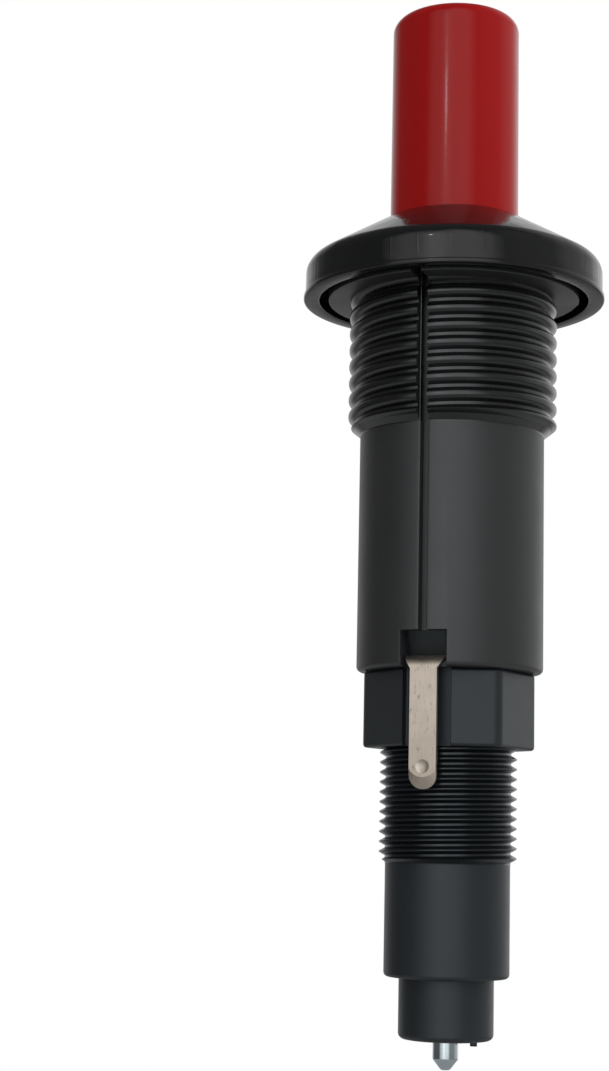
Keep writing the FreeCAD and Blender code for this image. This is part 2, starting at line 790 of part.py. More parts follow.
def make_hammer(doc, s, at, r):
    """Steel hammer: striking nose below, spring seat above, cross hole for its pin."""
    body = turned_body(doc, "hammer", [
        (0, at.hammer_end),
        (s.hammer_nose_radius, at.hammer_end),
        (r.hammer, at.hammer_end + s.hammer_nose_length),
        (r.hammer, at.hammer_top),
        (s.hammer_seat_radius, at.hammer_top),
        (s.hammer_seat_radius, at.hammer_top + s.hammer_seat_height),
        (0, at.hammer_top + s.hammer_seat_height),
    ])
    hole = outline(body, "cross_hole_face", "YZ_Plane")
    add_circle(hole, 0, at.cross_pin, s.cross_pin_radius + s.snap_gap)
    pocketed(body, hole, "cross_hole", r.hammer * 2 + OVERSHOOT, both=True)
    return body


def make_cross_pin(doc, s, at, r):
    """Steel pin across the hammer that runs in the slots and lanes."""
    pin = doc.addObject("Part::Cylinder", "hammer_pin")
    half = r.spigot - s.cross_pin_inset
    pin.setExpression("Radius", s.cross_pin_radius.text)
    pin.setExpression("Height", (half * 2).text)
    pin.Placement = FreeCAD.Placement(Vector(), Rotation(Vector(0, 1, 0), 90))
    pin.setExpression("Placement.Base.x", (-half).text)
    pin.setExpression("Placement.Base.z", at.cross_pin.text)
    return pin


def make_disc(doc, label, radius, bottom, height):
    """A plain round piece of the stack."""
    disc = doc.addObject("Part::Cylinder", label)
    disc.setExpression("Radius", radius.text)
    disc.setExpression("Height", height.text)
    disc.setExpression("Placement.Base.z", bottom.text)
    return disc


def make_tube(doc, label, inner, outer, bottom, top):
    return turned_body(doc, label, [(inner, bottom), (outer, bottom), (outer, top), (inner, top)])


def make_end_contact(doc, s, at, r):
    """Brass disc under the stack, with a nib that centres the contact spring."""
    return turned_body(doc, "end_contact", [
        (0, at.lower_element),
        (0, at.stack_floor - s.contact_nib_height),
        (s.contact_nib_radius, at.stack_floor - s.contact_nib_height),
        (s.contact_nib_radius, at.stack_floor),
        (s.element_radius, at.stack_floor),
        (s.element_radius, at.lower_element),
    ])


def make_spring_guide(doc, s, at, r):
    """Headed guide that centres the impact spring under the plunger's cap."""
    head_top = at.guide_head + s.guide_head_height
    head = r.plunger_bore - s.snap_gap
    return turned_body(doc, "spring_guide", [
        (0, at.guide_head - s.guide_shank_length),
        (s.guide_shank_radius, at.guide_head - s.guide_shank_length),
        (s.guide_shank_radius, at.guide_head),
        (head, at.guide_head),
        (head, head_top),
        (0, head_top),
    ])


def make_spring(doc, label, mean_radius, wire, turns, bottom, top):
    """A coil of straight runs with a hexagonal wire, between two seats."""
    thickness = wire.value
    low = bottom.value + thickness / 2
    rise = top.value - bottom.value - thickness
    runs = int(round(turns.value * COIL_RUNS))
    path = []
    for k in range(runs + 1):
        turn = 2 * math.pi * k / COIL_RUNS
        height = low + rise * k / runs
        path.append(Vector(mean_radius.value * math.cos(turn), mean_radius.value * math.sin(turn), height))
    section = []
    for k in range(WIRE_SIDES):
        turn = 2 * math.pi * k / WIRE_SIDES
        reach = thickness / 2
        section.append(path[0] + Vector(reach * math.sin(turn), 0, reach * math.cos(turn)))
    profile = Part.makePolygon(section + section[:1])
    coil = doc.addObject("Part::Feature", label)
    coil.Shape = Part.makePolygon(path).makePipeShell([profile], True, True, 1)
    return coil


def build(doc):
    """Makes every piece and returns them by node name."""
    s = Sheet(doc)
    at = Levels(s)
    r = Radii(s)
    pieces = [
        make_button(doc, s, at, r),
        make_bezel(doc, s, at, r),
        make_barrel(doc, s, at, r),
        make_tube(doc, "stop_ring", r.button_hole, r.spigot, at.stop_ring_end, s.ledge_rise),
        make_lower_housing(doc, s, at, r),
        make_ground_terminal(doc, s, at, r),
        make_hv_pin(doc, s, at, r),
        make_plunger(doc, s, at, r),
        make_latch_sleeve(doc, s, at, r),
        make_hammer(doc, s, at, r),
        make_cross_pin(doc, s, at, r),
        make_spring_guide(doc, s, at, r),
        make_disc(doc, "anvil", s.anvil_radius, at.anvil, s.anvil_height),
        make_disc(doc, "piezo_element_upper", s.element_radius, at.upper_element, s.element_length),
        make_disc(doc, "centre_contact", s.element_radius, at.centre_contact, s.centre_contact_height),
        make_disc(doc, "piezo_element_lower", s.element_radius, at.lower_element, s.element_length),
        make_end_contact(doc, s, at, r),
        make_tube(doc, "insulating_tube", r.tube_bore, r.tube, at.stack_floor, at.terminal_seat),
        make_spring(doc, "return_spring", r.return_coil, s.return_wire, s.return_turns,
                    at.sleeve_top, at.button_flange_end),
        make_spring(doc, "impact_spring", r.impact_coil, s.impact_wire, s.impact_turns,
                    at.hammer_top, at.guide_head),
        make_spring(doc, "contact_spring", s.contact_radius, s.contact_wire, s.contact_turns,
                    at.pin_head_top, at.stack_floor),
    ]
    doc.recompute()
    return {piece.Label: piece for piece in pieces}


def check(doc, pieces):
    """Stops on a failed object or on a piece that is not one valid solid."""
    for item in doc.Objects:
        if "Invalid" in item.State or "Error" in item.State:
            raise RuntimeError(f"{item.Name} did not recompute: {item.State}")
    for name, piece in pieces.items():
        shape = piece.Shape
        if shape.isNull() or not shape.isValid() or len(shape.Solids) != 1:
            raise RuntimeError(f"{name} is not one valid solid")


def main():
    doc = FreeCAD.newDocument("piezo_igniter")
    pieces = build(doc)
    check(doc, pieces)
    os.makedirs("parts", exist_ok=True)
    for name, piece in pieces.items():
        piece.Shape.exportStep(f"parts/{name}.step")
        print(f"{name:22s} {piece.Shape.Volume:9.1f} mm3  faces {len(piece.Shape.Faces)}")


main()
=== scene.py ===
"""Looks of a push-button piezo igniter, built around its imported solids.

Sizes are in millimetres, and a mesh gets them in metres. Levels are measured up the axis from the
seating plane under the bezel. The earth tab faces -Y.
"""
import json
import logging
import math
from abc import ABC, abstractmethod
from dataclasses import dataclass, field
from enum import Enum
from typing import Any, Sequence, Union

import bpy
from mathutils import Matrix, Vector

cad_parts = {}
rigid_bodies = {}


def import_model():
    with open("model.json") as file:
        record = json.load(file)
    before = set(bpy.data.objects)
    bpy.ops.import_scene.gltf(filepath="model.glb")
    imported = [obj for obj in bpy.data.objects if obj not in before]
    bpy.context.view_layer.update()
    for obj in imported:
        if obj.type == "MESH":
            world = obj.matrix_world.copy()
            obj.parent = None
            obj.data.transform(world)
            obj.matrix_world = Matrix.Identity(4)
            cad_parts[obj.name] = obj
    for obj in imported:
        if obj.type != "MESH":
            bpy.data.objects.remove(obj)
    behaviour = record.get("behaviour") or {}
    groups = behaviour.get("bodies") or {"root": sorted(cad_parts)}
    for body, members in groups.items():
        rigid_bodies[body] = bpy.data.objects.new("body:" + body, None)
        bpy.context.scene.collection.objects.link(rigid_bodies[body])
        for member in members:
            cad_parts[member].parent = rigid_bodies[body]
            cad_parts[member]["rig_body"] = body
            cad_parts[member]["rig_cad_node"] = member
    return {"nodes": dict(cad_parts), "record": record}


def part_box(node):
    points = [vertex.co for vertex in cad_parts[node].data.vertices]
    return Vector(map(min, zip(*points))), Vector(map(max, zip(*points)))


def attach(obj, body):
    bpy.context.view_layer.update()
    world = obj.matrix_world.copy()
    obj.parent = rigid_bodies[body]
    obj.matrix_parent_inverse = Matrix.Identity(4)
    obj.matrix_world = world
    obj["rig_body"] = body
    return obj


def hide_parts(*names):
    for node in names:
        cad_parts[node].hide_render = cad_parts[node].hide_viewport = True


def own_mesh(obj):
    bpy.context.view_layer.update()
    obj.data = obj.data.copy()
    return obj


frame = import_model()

log = logging.getLogger("piezo_igniter")

MM = 0.001
FULL_TURN = 2 * math.pi
TURNING_STEPS = 160         # facets round a turned piece
MERGE_DISTANCE = 1e-7       # metres

Point = tuple[float, float]                 # distance from the axis and level
Corner = tuple[float, float, float]         # the same, with the radius that rounds it
Colour = tuple[float, float, float]
Piece = bpy.types.Object


def rounded(corners: Sequence[Corner], steps: int = 5, closed: bool = True) -> list[Point]:
    """Rounds the corners of an outline.

    Args:
        corners: the corners in order, each with its radius.
        steps: straight runs in each round corner.
        closed: whether the last corner leads back to the first.

    Returns:
        The points of the outline.
    """
    points: list[Point] = []
    count = len(corners)
    for k, (x, y, radius) in enumerate(corners):
        inner = closed or 0 < k < count - 1
        if radius <= 0 or not inner:
            points.append((x, y))
            continue
        here = Vector((x, y))
        back = (Vector(corners[k - 1][:2]) - here).normalized()
        ahead = (Vector(corners[(k + 1) % count][:2]) - here).normalized()
        half = back.angle(ahead) / 2
        centre = here + (back + ahead).normalized() * radius / math.sin(half)
        first = here + back * radius / math.tan(half) - centre
        last = here + ahead * radius / math.tan(half) - centre
        sweep = first.angle_signed(last)
        for step in range(steps + 1):
            turned = first.copy()
            turned.rotate(Matrix.Rotation(-sweep * step / steps, 2))
            points.append(tuple(centre + turned))
    return points


def arc(centre: Point, radius: float, start: float, end: float, steps: int) -> list[Point]:
    """Gives points along a round stretch.

    Args:
        centre: where the arc turns about.
        radius: of the arc.
        start: angle of its first point, in degrees.
        end: angle of its last point, in degrees.
        steps: straight runs along it.

    Returns:
        The points, both ends with them.
    """
    points = []
    for step in range(steps + 1):
        turn = math.radians(start + (end - start) * step / steps)
        points.append((centre[0] + radius * math.cos(turn), centre[1] + radius * math.sin(turn)))
    return points


class Sheet(Enum):
    """The plane that an outline is drawn on, as the place of its two numbers."""

    FRONT = "XZ"
    SIDE = "YZ"
    TOP = "XY"

    def place(self, point: Point, offset: float = 0.0) -> Vector:
        """Puts a point of the outline into space.

        Args:
            point: the two numbers, in millimetres.
            offset: distance of the plane from the origin, in millimetres.

        Returns:
            The place in metres.
        """
        a, b = point
        spots = {"XZ": (a, offset, b), "YZ": (offset, a, b), "XY": (a, b, offset)}
        return Vector(spots[self.value]) * MM


class Joining(Enum):
    """What a boolean does with the second shape."""

    ADD = "UNION"
    CUT = "DIFFERENCE"


class Bench:
    """Modelling moves, made with the operators that a person at the screen would use."""

    @staticmethod
    def pick(*pieces: Piece) -> None:
        """Selects these pieces alone and makes the first one active.

        Args:
            pieces: what the next operator works on.
        """
        if bpy.context.object is not None and bpy.context.object.mode != "OBJECT":
            bpy.ops.object.mode_set(mode="OBJECT")
        bpy.ops.object.select_all(action="DESELECT")
        for piece in pieces:
            piece.select_set(True)
        bpy.context.view_layer.objects.active = pieces[0]

    @staticmethod
    def edit(piece: Piece) -> None:
        """Opens a piece in edit mode with all of it selected."""
        Bench.pick(piece)
        bpy.ops.object.mode_set(mode="EDIT")
        bpy.ops.mesh.select_all(action="SELECT")

    @staticmethod
    def close() -> None:
        """Goes back to object mode."""
        bpy.ops.object.mode_set(mode="OBJECT")

    @staticmethod
    def draw(name: str, spots: Sequence[Vector], closed: bool) -> Piece:
        """Draws a chain of edges, each point extruded from the one before.

        Args:
            name: of the new piece.
            spots: the points in metres.
            closed: whether the chain ends where it began.

        Returns:
            The piece, which has edges only.
        """
        bpy.ops.object.select_all(action="DESELECT")
        bpy.ops.mesh.primitive_plane_add(size=MM)
        piece = bpy.context.object
        piece.name = name
        Bench.edit(piece)
        bpy.ops.mesh.merge(type="CENTER")
        bpy.ops.transform.translate(value=spots[0])
        route = [*spots, spots[0]] if closed else list(spots)
        for here, there in zip(route, route[1:]):
            bpy.ops.mesh.extrude_region_move(TRANSFORM_OT_translate={"value": there - here})
        bpy.ops.mesh.select_all(action="SELECT")
        bpy.ops.mesh.remove_doubles(threshold=MERGE_DISTANCE)
        Bench.close()
        return piece

    @staticmethod
    def tidy_skin() -> None:
        """Merges what lies together and turns all faces outwards, in edit mode."""
        bpy.ops.mesh.select_all(action="SELECT")
        bpy.ops.mesh.remove_doubles(threshold=MERGE_DISTANCE)
        bpy.ops.mesh.normals_make_consistent(inside=False)

    @staticmethod
    def turned(name: str, section: Sequence[Point], steps: int = TURNING_STEPS) -> Piece:
        """Turns a half section about the axis.

        Args:
            name: of the new piece.
            section: closed outline as distance and level, or open between two axis points.
            steps: facets round the axis.

        Returns:
            The closed solid.
        """
        on_axis = section[0][0] == 0 and section[-1][0] == 0
        spots = [Sheet.FRONT.place(point) for point in section]
        piece = Bench.draw(name, spots, closed=not on_axis)
        Bench.edit(piece)
        bpy.ops.mesh.spin(steps=steps, angle=FULL_TURN, center=(0, 0, 0), axis=(0, 0, 1))
        Bench.tidy_skin()
        Bench.close()
        return piece

    @staticmethod
    def raised(name: str, outline: Sequence[Point], sheet: Sheet, start: float, end: float) -> Piece:
        """Extrudes a closed outline square to its plane.

        Args:
            name: of the new piece.
            outline: closed, in millimetres on the plane.
            sheet: the plane.
            start: where the solid starts, along the plane's normal.
            end: where it ends.

        Returns:
            The closed solid.
        """
        spots = [sheet.place(point, start) for point in outline]
        piece = Bench.draw(name, spots, closed=True)
        Bench.edit(piece)
        bpy.ops.mesh.edge_face_add()
        rise = sheet.place((0, 0), end) - sheet.place((0, 0), start)
        bpy.ops.mesh.extrude_region_move(TRANSFORM_OT_translate={"value": rise})
        Bench.tidy_skin()
        Bench.close()
        return piece

    @staticmethod
    def wound(name: str, section: Sequence[Point], pitch: float, turns: float, steps: int) -> Piece:
        """Winds a closed section up a right-hand helix.

        Args:
            name: of the new piece.
            section: closed outline at the lower end of the helix.
            pitch: rise of one turn.
            turns: how many, whole or not.
            steps: facets in one turn.

        Returns:
            The closed solid.
        """
        spots = [Sheet.FRONT.place(point) for point in section]
        piece = Bench.draw(name, spots, closed=True)
        screw = piece.modifiers.new("lead", "SCREW")
        screw.angle = FULL_TURN * turns
        screw.screw_offset = pitch * turns * MM
        screw.steps = screw.render_steps = round(steps * turns)
        screw.use_merge_vertices = False
        Bench.apply(piece, screw)
        Bench.edit(piece)
        bpy.ops.mesh.fill_holes(sides=0)
        bpy.ops.mesh.select_all(action="SELECT")
        bpy.ops.mesh.normals_make_consistent(inside=False)
        Bench.close()
        return piece

    @staticmethod
    def apply(piece: Piece, modifier: bpy.types.Modifier) -> None:
        """Applies one modifier."""
        Bench.pick(piece)
        bpy.ops.object.modifier_apply(modifier=modifier.name)

    @staticmethod
    def swing(piece: Piece, degrees: float) -> Piece:
        """Turns a piece about the axis and applies the turn.

        Args:
            piece: what turns.
            degrees: counter-clockwise, seen from above.

        Returns:
            The same piece.
        """
        Bench.pick(piece)
        piece.rotation_euler.z = math.radians(degrees)
        bpy.ops.object.transform_apply(location=False, rotation=True, scale=False)
        return piece

    @staticmethod
    def joined(piece: Piece, other: Piece, how: Joining) -> Piece:
        """Adds a second solid to a piece or cuts it away, and removes the second one.

        Args:
            piece: the solid that stays.
            other: the solid that is used up.
            how: add or cut.

        Returns:
            The first piece.
        """
        boolean = piece.modifiers.new("join", "BOOLEAN")
        boolean.operation = how.value
        boolean.solver = "EXACT"
        boolean.object = other
        Bench.apply(piece, boolean)
        Bench.pick(other)
        bpy.ops.object.delete()
        return piece

    @staticmethod
    def softened(piece: Piece, width: float, angle: float = 40.0, segments: int = 2) -> Piece:
        """Bevels every edge that is sharper than an angle.

        Args:
            piece: the solid.
            width: of the bevel, in millimetres.
            angle: in degrees.
            segments: across the bevel.

        Returns:
            The same piece.
        """
        bevel = piece.modifiers.new("edges", "BEVEL")
        bevel.width = width * MM
        bevel.segments = segments
        bevel.limit_method = "ANGLE"
        bevel.angle_limit = math.radians(angle)
        Bench.apply(piece, bevel)
        return piece

    @staticmethod
    def smooth(piece: Piece, angle: float = 32.0) -> Piece:
        """Shades a piece smooth, apart from edges sharper than an angle in degrees."""
        Bench.pick(piece)
        bpy.ops.object.shade_smooth_by_angle(angle=math.radians(angle))
        return piece

    @staticmethod
    def flattened(piece: Piece) -> Piece:
        """Lets large flat faces shade flat, so that the roundings beside them take the turn."""
        weighted = piece.modifiers.new("flats", "WEIGHTED_NORMAL")
        weighted.keep_sharp = True
        Bench.apply(piece, weighted)
        return piece


class Wire:
    """The output of a shader node, for maths written as expressions."""

    def __init__(self, graph: "Graph", socket: bpy.types.NodeSocket) -> None:
        """Wraps a socket of a graph."""
        self.graph = graph
        self.socket = socket

    def _math(self, operation: str, first: "Value", second: "Value") -> "Wire":
        """Adds a Math node with two inputs."""
        return self.graph.add("ShaderNodeMath", {"operation": operation}, {0: first, 1: second})

    def __add__(self, other: "Value") -> "Wire":
        """Sum."""
        return self._math("ADD", self, other)

    __radd__ = __add__

    def __sub__(self, other: "Value") -> "Wire":
        """Difference."""
        return self._math("SUBTRACT", self, other)

    def __rsub__(self, other: "Value") -> "Wire":
        """Difference from a number."""
        return self._math("SUBTRACT", other, self)

    def __mul__(self, other: "Value") -> "Wire":
        """Product."""
        return self._math("MULTIPLY", self, other)

    __rmul__ = __mul__

    def above(self, low: float, high: float) -> "Wire":
        """Rises smoothly from 0 at low to 1 at high.

        Args:
            low: value that gives 0.
            high: value that gives 1, which may be the lower of the two.

        Returns:
            The mask.
        """
        settings = {"interpolation_type": "SMOOTHSTEP"}
        inputs = {"Value": self, "From Min": low, "From Max": high}
        return self.graph.add("ShaderNodeMapRange", settings, inputs)


Value = Union[Wire, float, Sequence[float]]


class Graph:
    """The node tree of one material or world."""

    def __init__(self, tree: bpy.types.NodeTree) -> None:
        """Starts on an empty tree."""
        self.tree = tree
        tree.nodes.clear()

    def add(self, kind: str, settings: dict[str, Any] | None = None,
            inputs: dict[int | str, Value] | None = None, output: int | str = 0) -> Wire:
        """Adds any node.

        Args:
            kind: type of the node.
            settings: its properties, or "stops" for a ramp, set before the sockets.
            inputs: a value or wire for each socket, by name or number.
            output: the socket that the wire comes from.

        Returns:
            The output as a wire.
        """
        node = self.tree.nodes.new(kind)
        for name, value in (settings or {}).items():
            if name == "stops":
                self._set_stops(node.color_ramp, value)
            else:
                setattr(node, name, value)
        for name, value in (inputs or {}).items():
            if isinstance(value, Wire):
                self.tree.links.new(value.socket, node.inputs[name])
            else:
                node.inputs[name].default_value = value
        return Wire(self, node.outputs[output]) if len(node.outputs) else None

    @staticmethod
    def _set_stops(ramp: bpy.types.ColorRamp, stops: Sequence[tuple[float, float]]) -> None:
        """Gives a ramp its stops, each a place and a grey level."""
        while len(ramp.elements) < len(stops):
            ramp.elements.new(1.0)
        for element, (place, level) in zip(ramp.elements, stops):
            element.position = place
            element.color = (level, level, level, 1.0)

    def place(self, stretch: Sequence[float] = (1, 1, 1)) -> Wire:
        """Gives the object coordinates in millimetres.

        Args:
            stretch: factor for each axis, so that a pattern is drawn out where it is small.

        Returns:
            The coordinates.
        """
        here = self.add("ShaderNodeTexCoord", output="Object")
        scale = [factor / MM for factor in stretch]
        return self.add("ShaderNodeVectorMath", {"operation": "MULTIPLY"}, {0: here, 1: scale})

    def part(self, vector: Wire, axis: str) -> Wire:
        """Takes one coordinate, X, Y or Z, of a vector."""
        return self.add("ShaderNodeSeparateXYZ", inputs={0: vector}, output=axis)

    def noise(self, vector: Wire, size: float, detail: float = 2.0, seed: float = 0.0) -> Wire:
        """Adds soft noise.

        Args:
            vector: coordinates in millimetres.
            size: of its blots, in millimetres.
            detail: how much finer noise is added.
            seed: a shift that makes it another noise.

        Returns:
            Noise from 0 to 1.
        """
        shifted = self.add("ShaderNodeVectorMath", {"operation": "ADD"},
                           {0: vector, 1: (seed, 2 * seed, 3 * seed)})
        return self.add("ShaderNodeTexNoise", {"noise_dimensions": "3D"},
                        {"Vector": shifted, "Scale": 1 / size, "Detail": detail})

    def mix(self, factor: Value, first: Value, second: Value) -> Wire:
        """Mixes two colours.

        Args:
            factor: 0 gives the first, 1 the second.
            first: a colour.
            second: a colour.

        Returns:
            The mixed colour.
        """
        colours = [c if isinstance(c, Wire) else (*c, 1.0) for c in (first, second)]
        inputs = {0: factor, 6: colours[0], 7: colours[1]}
        return self.add("ShaderNodeMix", {"data_type": "RGBA"}, inputs, output=2)

    def bump(self, height: Wire, depth: float, normal: Wire | None = None) -> Wire:
        """Adds a bump.

        Args:
            height: from 0 to 1.
            depth: that 1 stands for, in millimetres.
            normal: an earlier bump to add this one to.

        Returns:
            The normal.
        """
        inputs = {"Height": height, "Distance": depth * MM, "Strength": 1.0}
        if normal is not None:
            inputs["Normal"] = normal
        return self.add("ShaderNodeBump", inputs=inputs)


@dataclass(frozen=True)
class Finish(ABC):
    """A surface finish: a material slot of the record and how it looks."""

    name: str
    slot: str
    colour: Colour

    def material(self) -> bpy.types.Material:
        """Builds the material."""
        made = bpy.data.materials.new(self.name)
        made.use_nodes = True
        graph = Graph(made.node_tree)
        inputs = self.shade(graph)
        shader = graph.add("ShaderNodeBsdfPrincipled", inputs=inputs)
        graph.add("ShaderNodeOutputMaterial", inputs={"Surface": shader})
        made.diffuse_color = (*self.colour, 1.0)
        return made

    @abstractmethod
    def shade(self, graph: Graph) -> dict[str, Value]:
        """Gives the shader's inputs."""

    def tinted(self, graph: Graph, amount: Wire, spread: float) -> Wire:
        """Varies the colour between a darker and a lighter tone.

        Args:
            graph: of the material.
            amount: mask from 0 to 1.
            spread: how far each tone lies from the colour, as a share.

        Returns:
            The colour.
        """
        dark = tuple(c * (1 - spread) for c in self.colour)
        light = tuple(c * (1 + spread) for c in self.colour)
        return graph.mix(amount, dark, light)


@dataclass(frozen=True)
class MouldedGloss(Finish):
    """Polished moulded plastic with faint orange peel, flow streaks and fine rub marks."""

    roughness: float = 0.1
    rub: float = 0.12           # roughness that rub marks add
    peel: float = 0.004         # depth of the orange peel
    wave: float = 0.01          # depth of the slow waves of the mould's flow
    streaks: float = 0.1
    ior: float = 1.5

    def shade(self, graph: Graph) -> dict[str, Value]:
        """Gives the shader's inputs."""
        here = graph.place()
        flow = graph.noise(graph.place((1, 1, 0.12)), 2.2, 3.0, 4.0)
        cloud = graph.noise(here, 5.0, 2.0, 9.0)
        rubs = graph.noise(graph.place((1, 1, 0.1)), 0.18, 4.0, 2.0).above(0.56, 0.78)
        flecks = graph.noise(here, 0.22, 1.0, 7.0).above(0.8, 0.86)
        lines = graph.noise(graph.place((1, 1, 0.05)), 0.7, 3.0, 13.0).above(0.6, 0.7)
        peel = graph.noise(here, 1.1, 2.0, 1.0)
        upper = graph.part(here, "Z").above(0.6, 1.4)
        waves = graph.bump(graph.noise(graph.place((1, 1, 0.3)), 2.6, 1.0, 6.0) * upper, self.wave)
        colour = self.tinted(graph, flow * 0.5 + cloud * 0.5, self.streaks)
        pale = tuple(0.5 * c + 0.06 for c in self.colour)
        drawn = graph.bump(lines * upper, self.wave / 8, waves)
        return {
            "Base Color": graph.mix(flecks * 0.15, colour, pale),
            "Roughness": self.roughness + rubs * self.rub + flecks * 0.2,
            "IOR": self.ior,
            "Normal": graph.bump(rubs, 0.0008, graph.bump(peel, self.peel, drawn)),
        }


@dataclass(frozen=True)
class MouldedSatin(Finish):
    """Satin moulded plastic: fine grain, a polished stretch whose colour is darkened as painted shade
    between the thread turns, mould flow and pale scuffs.
    """

    roughness: float = 0.44
    grain: float = 0.006
    polished: tuple[float, float] = (0.0, 0.0)      # levels between which the mould is polished and its colour darkened as painted shade between the thread turns
    polished_roughness: float = 0.24
    depth: float = 1.0                              # share of its colour kept there, as painted shade between the thread turns
    ior: float = 1.6
    shine: Colour = (0.95, 0.98, 1.0)               # tint of what it reflects

    def shade(self, graph: Graph) -> dict[str, Value]:
        """Gives the shader's inputs."""
        here = graph.place()
        level = graph.part(here, "Z")
        low, high = self.polished
        bright = level.above(low - 0.1, low + 0.1) * level.above(high + 0.1, high - 0.1)
        fine = graph.noise(here, 0.09, 3.0, 1.0)
        cloud = graph.noise(here, 3.5, 3.0, 5.0)
        flow = graph.noise(graph.place((1, 1, 0.15)), 1.4, 2.0, 8.0)
        scuffs = graph.noise(graph.place((1, 1, 3.0)), 0.5, 5.0, 3.0).above(0.68, 0.8)
        dust = graph.noise(here, 0.16, 1.0, 11.0).above(0.78, 0.83)
        colour = self.tinted(graph, cloud * 0.6 + flow * 0.4, 0.22)
        rough = self.roughness + (fine - 0.5) * 0.16 + (cloud - 0.5) * 0.1
        polish = bright * (self.roughness - self.polished_roughness)
        # Painted shade: where the mould is polished, over the threads, the colour is darkened to stand for
        # the shade between the thread turns.
        painted_thread_shade = graph.mix(bright, colour, tuple(c * self.depth for c in self.colour))
        pale = tuple(c + 0.05 for c in self.colour)
        return {
            "Base Color": graph.mix(scuffs * 0.2 + dust, painted_thread_shade, pale),
            "Roughness": rough - polish + scuffs * 0.12,
            "IOR": self.ior,
            "Specular Tint": (*self.shine, 1.0),
            "Normal": graph.bump(fine * (1 - bright * 0.8), self.grain),
        }


@dataclass(frozen=True)
class BrushedSheet(Finish):
    """Plated sheet with long fine scratches, smudges and dull spots."""

    roughness: float = 0.3
    greying_levels: tuple[float, float] = (-42.0, -51.0)    # levels between which it grows greyer

    def shade(self, graph: Graph) -> dict[str, Value]:
        """Gives the shader's inputs."""
        here = graph.place()
        brush = graph.noise(graph.place((1, 1, 0.06)), 0.11, 4.0, 1.0)
        scratch = graph.noise(graph.place((1.0, 1.0, 0.12)), 0.2, 3.0, 6.0).above(0.6, 0.72)
        smudge = graph.noise(here, 1.3, 3.0, 4.0)
        spots = graph.noise(graph.place((1, 1, 0.4)), 0.35, 3.0, 8.0).above(0.58, 0.7)
        colour = self.tinted(graph, smudge * 0.7 + brush * 0.3, 0.25)
        dull = tuple(c * 0.45 for c in self.colour)
        grey = graph.part(here, "Z").above(*self.greying_levels)
        # Greyer and darker towards the lower end of the tab.
        greyer_low = graph.mix(grey * 0.4, colour, tuple(c * 0.6 for c in self.colour))
        return {
            "Base Color": graph.mix(spots * 0.42, greyer_low, dull),
            "Metallic": 1.0,
            "Roughness": self.roughness + (brush - 0.5) * 0.18 + smudge * 0.1 + spots * 0.1,
            "Normal": graph.bump(scratch, 0.008, graph.bump(brush, 0.006)),
        }


@dataclass(frozen=True)
class TurnedMetal(Finish):
    """Turned or drawn metal with fine tool rings round the axis and a few dull marks."""

    roughness: float = 0.22
    ring: float = 0.07          # spacing of the tool rings
    depth: float = 0.002

    def shade(self, graph: Graph) -> dict[str, Value]:
        """Gives the shader's inputs."""
        here = graph.place()
        rings = graph.noise(graph.place((0.04, 0.04, 1)), self.ring, 3.0, 2.0)
        cloud = graph.noise(here, 1.5, 3.0, 5.0)
        marks = graph.noise(here, 0.3, 3.0, 9.0).above(0.64, 0.76)
        dull = tuple(c * 0.6 for c in self.colour)
        return {
            "Base Color": graph.mix(marks * 0.4, self.tinted(graph, cloud, 0.12), dull),
            "Metallic": 1.0,
            "Roughness": self.roughness + (rings - 0.5) * 0.14 + marks * 0.15,
            "Normal": graph.bump(rings, self.depth),
        }


@dataclass(frozen=True)
class PlainMoulding(Finish):
    """Natural acetal, film or rubber: a soft cloud of tone and fine grain."""

    roughness: float = 0.4
    grain: float = 0.004
    transmission: float = 0.0

    def shade(self, graph: Graph) -> dict[str, Value]:
        """Gives the shader's inputs."""
        here = graph.place()
        cloud = graph.noise(here, 2.5, 3.0, 3.0)
        fine = graph.noise(here, 0.12, 3.0, 1.0)
        return {
            "Base Color": self.tinted(graph, cloud, 0.08),
            "Roughness": self.roughness + (fine - 0.5) * 0.15,
            "Transmission Weight": self.transmission,
            "Normal": graph.bump(fine, self.grain),
        }


@dataclass(frozen=True)
class SilveredCeramic(Finish):
    """Fired ceramic rod whose ends are silvered."""

    low: float = 0.0            # level of the lower end
    high: float = 1.0
    silver: Colour = (0.8, 0.79, 0.76)
    band: float = 0.6           # length of each silvered end

    def shade(self, graph: Graph) -> dict[str, Value]:
        """Gives the shader's inputs."""
        here = graph.place()
        wave = (graph.noise(here, 0.8, 2.0, 6.0) - 0.5) * 0.3
        level = graph.part(here, "Z") + wave
        below = level.above(self.low + self.band + 0.02, self.low + self.band - 0.02)
        over = level.above(self.high - self.band - 0.02, self.high - self.band + 0.02)
        ends = below + over
        fine = graph.noise(here, 0.08, 4.0, 2.0)
        return {
            "Base Color": graph.mix(ends, self.tinted(graph, fine, 0.1), self.silver),
            "Metallic": ends * 0.9,
            "Roughness": 0.55 - ends * 0.25 + (fine - 0.5) * 0.1,
            "Normal": graph.bump(fine, 0.004),
        }


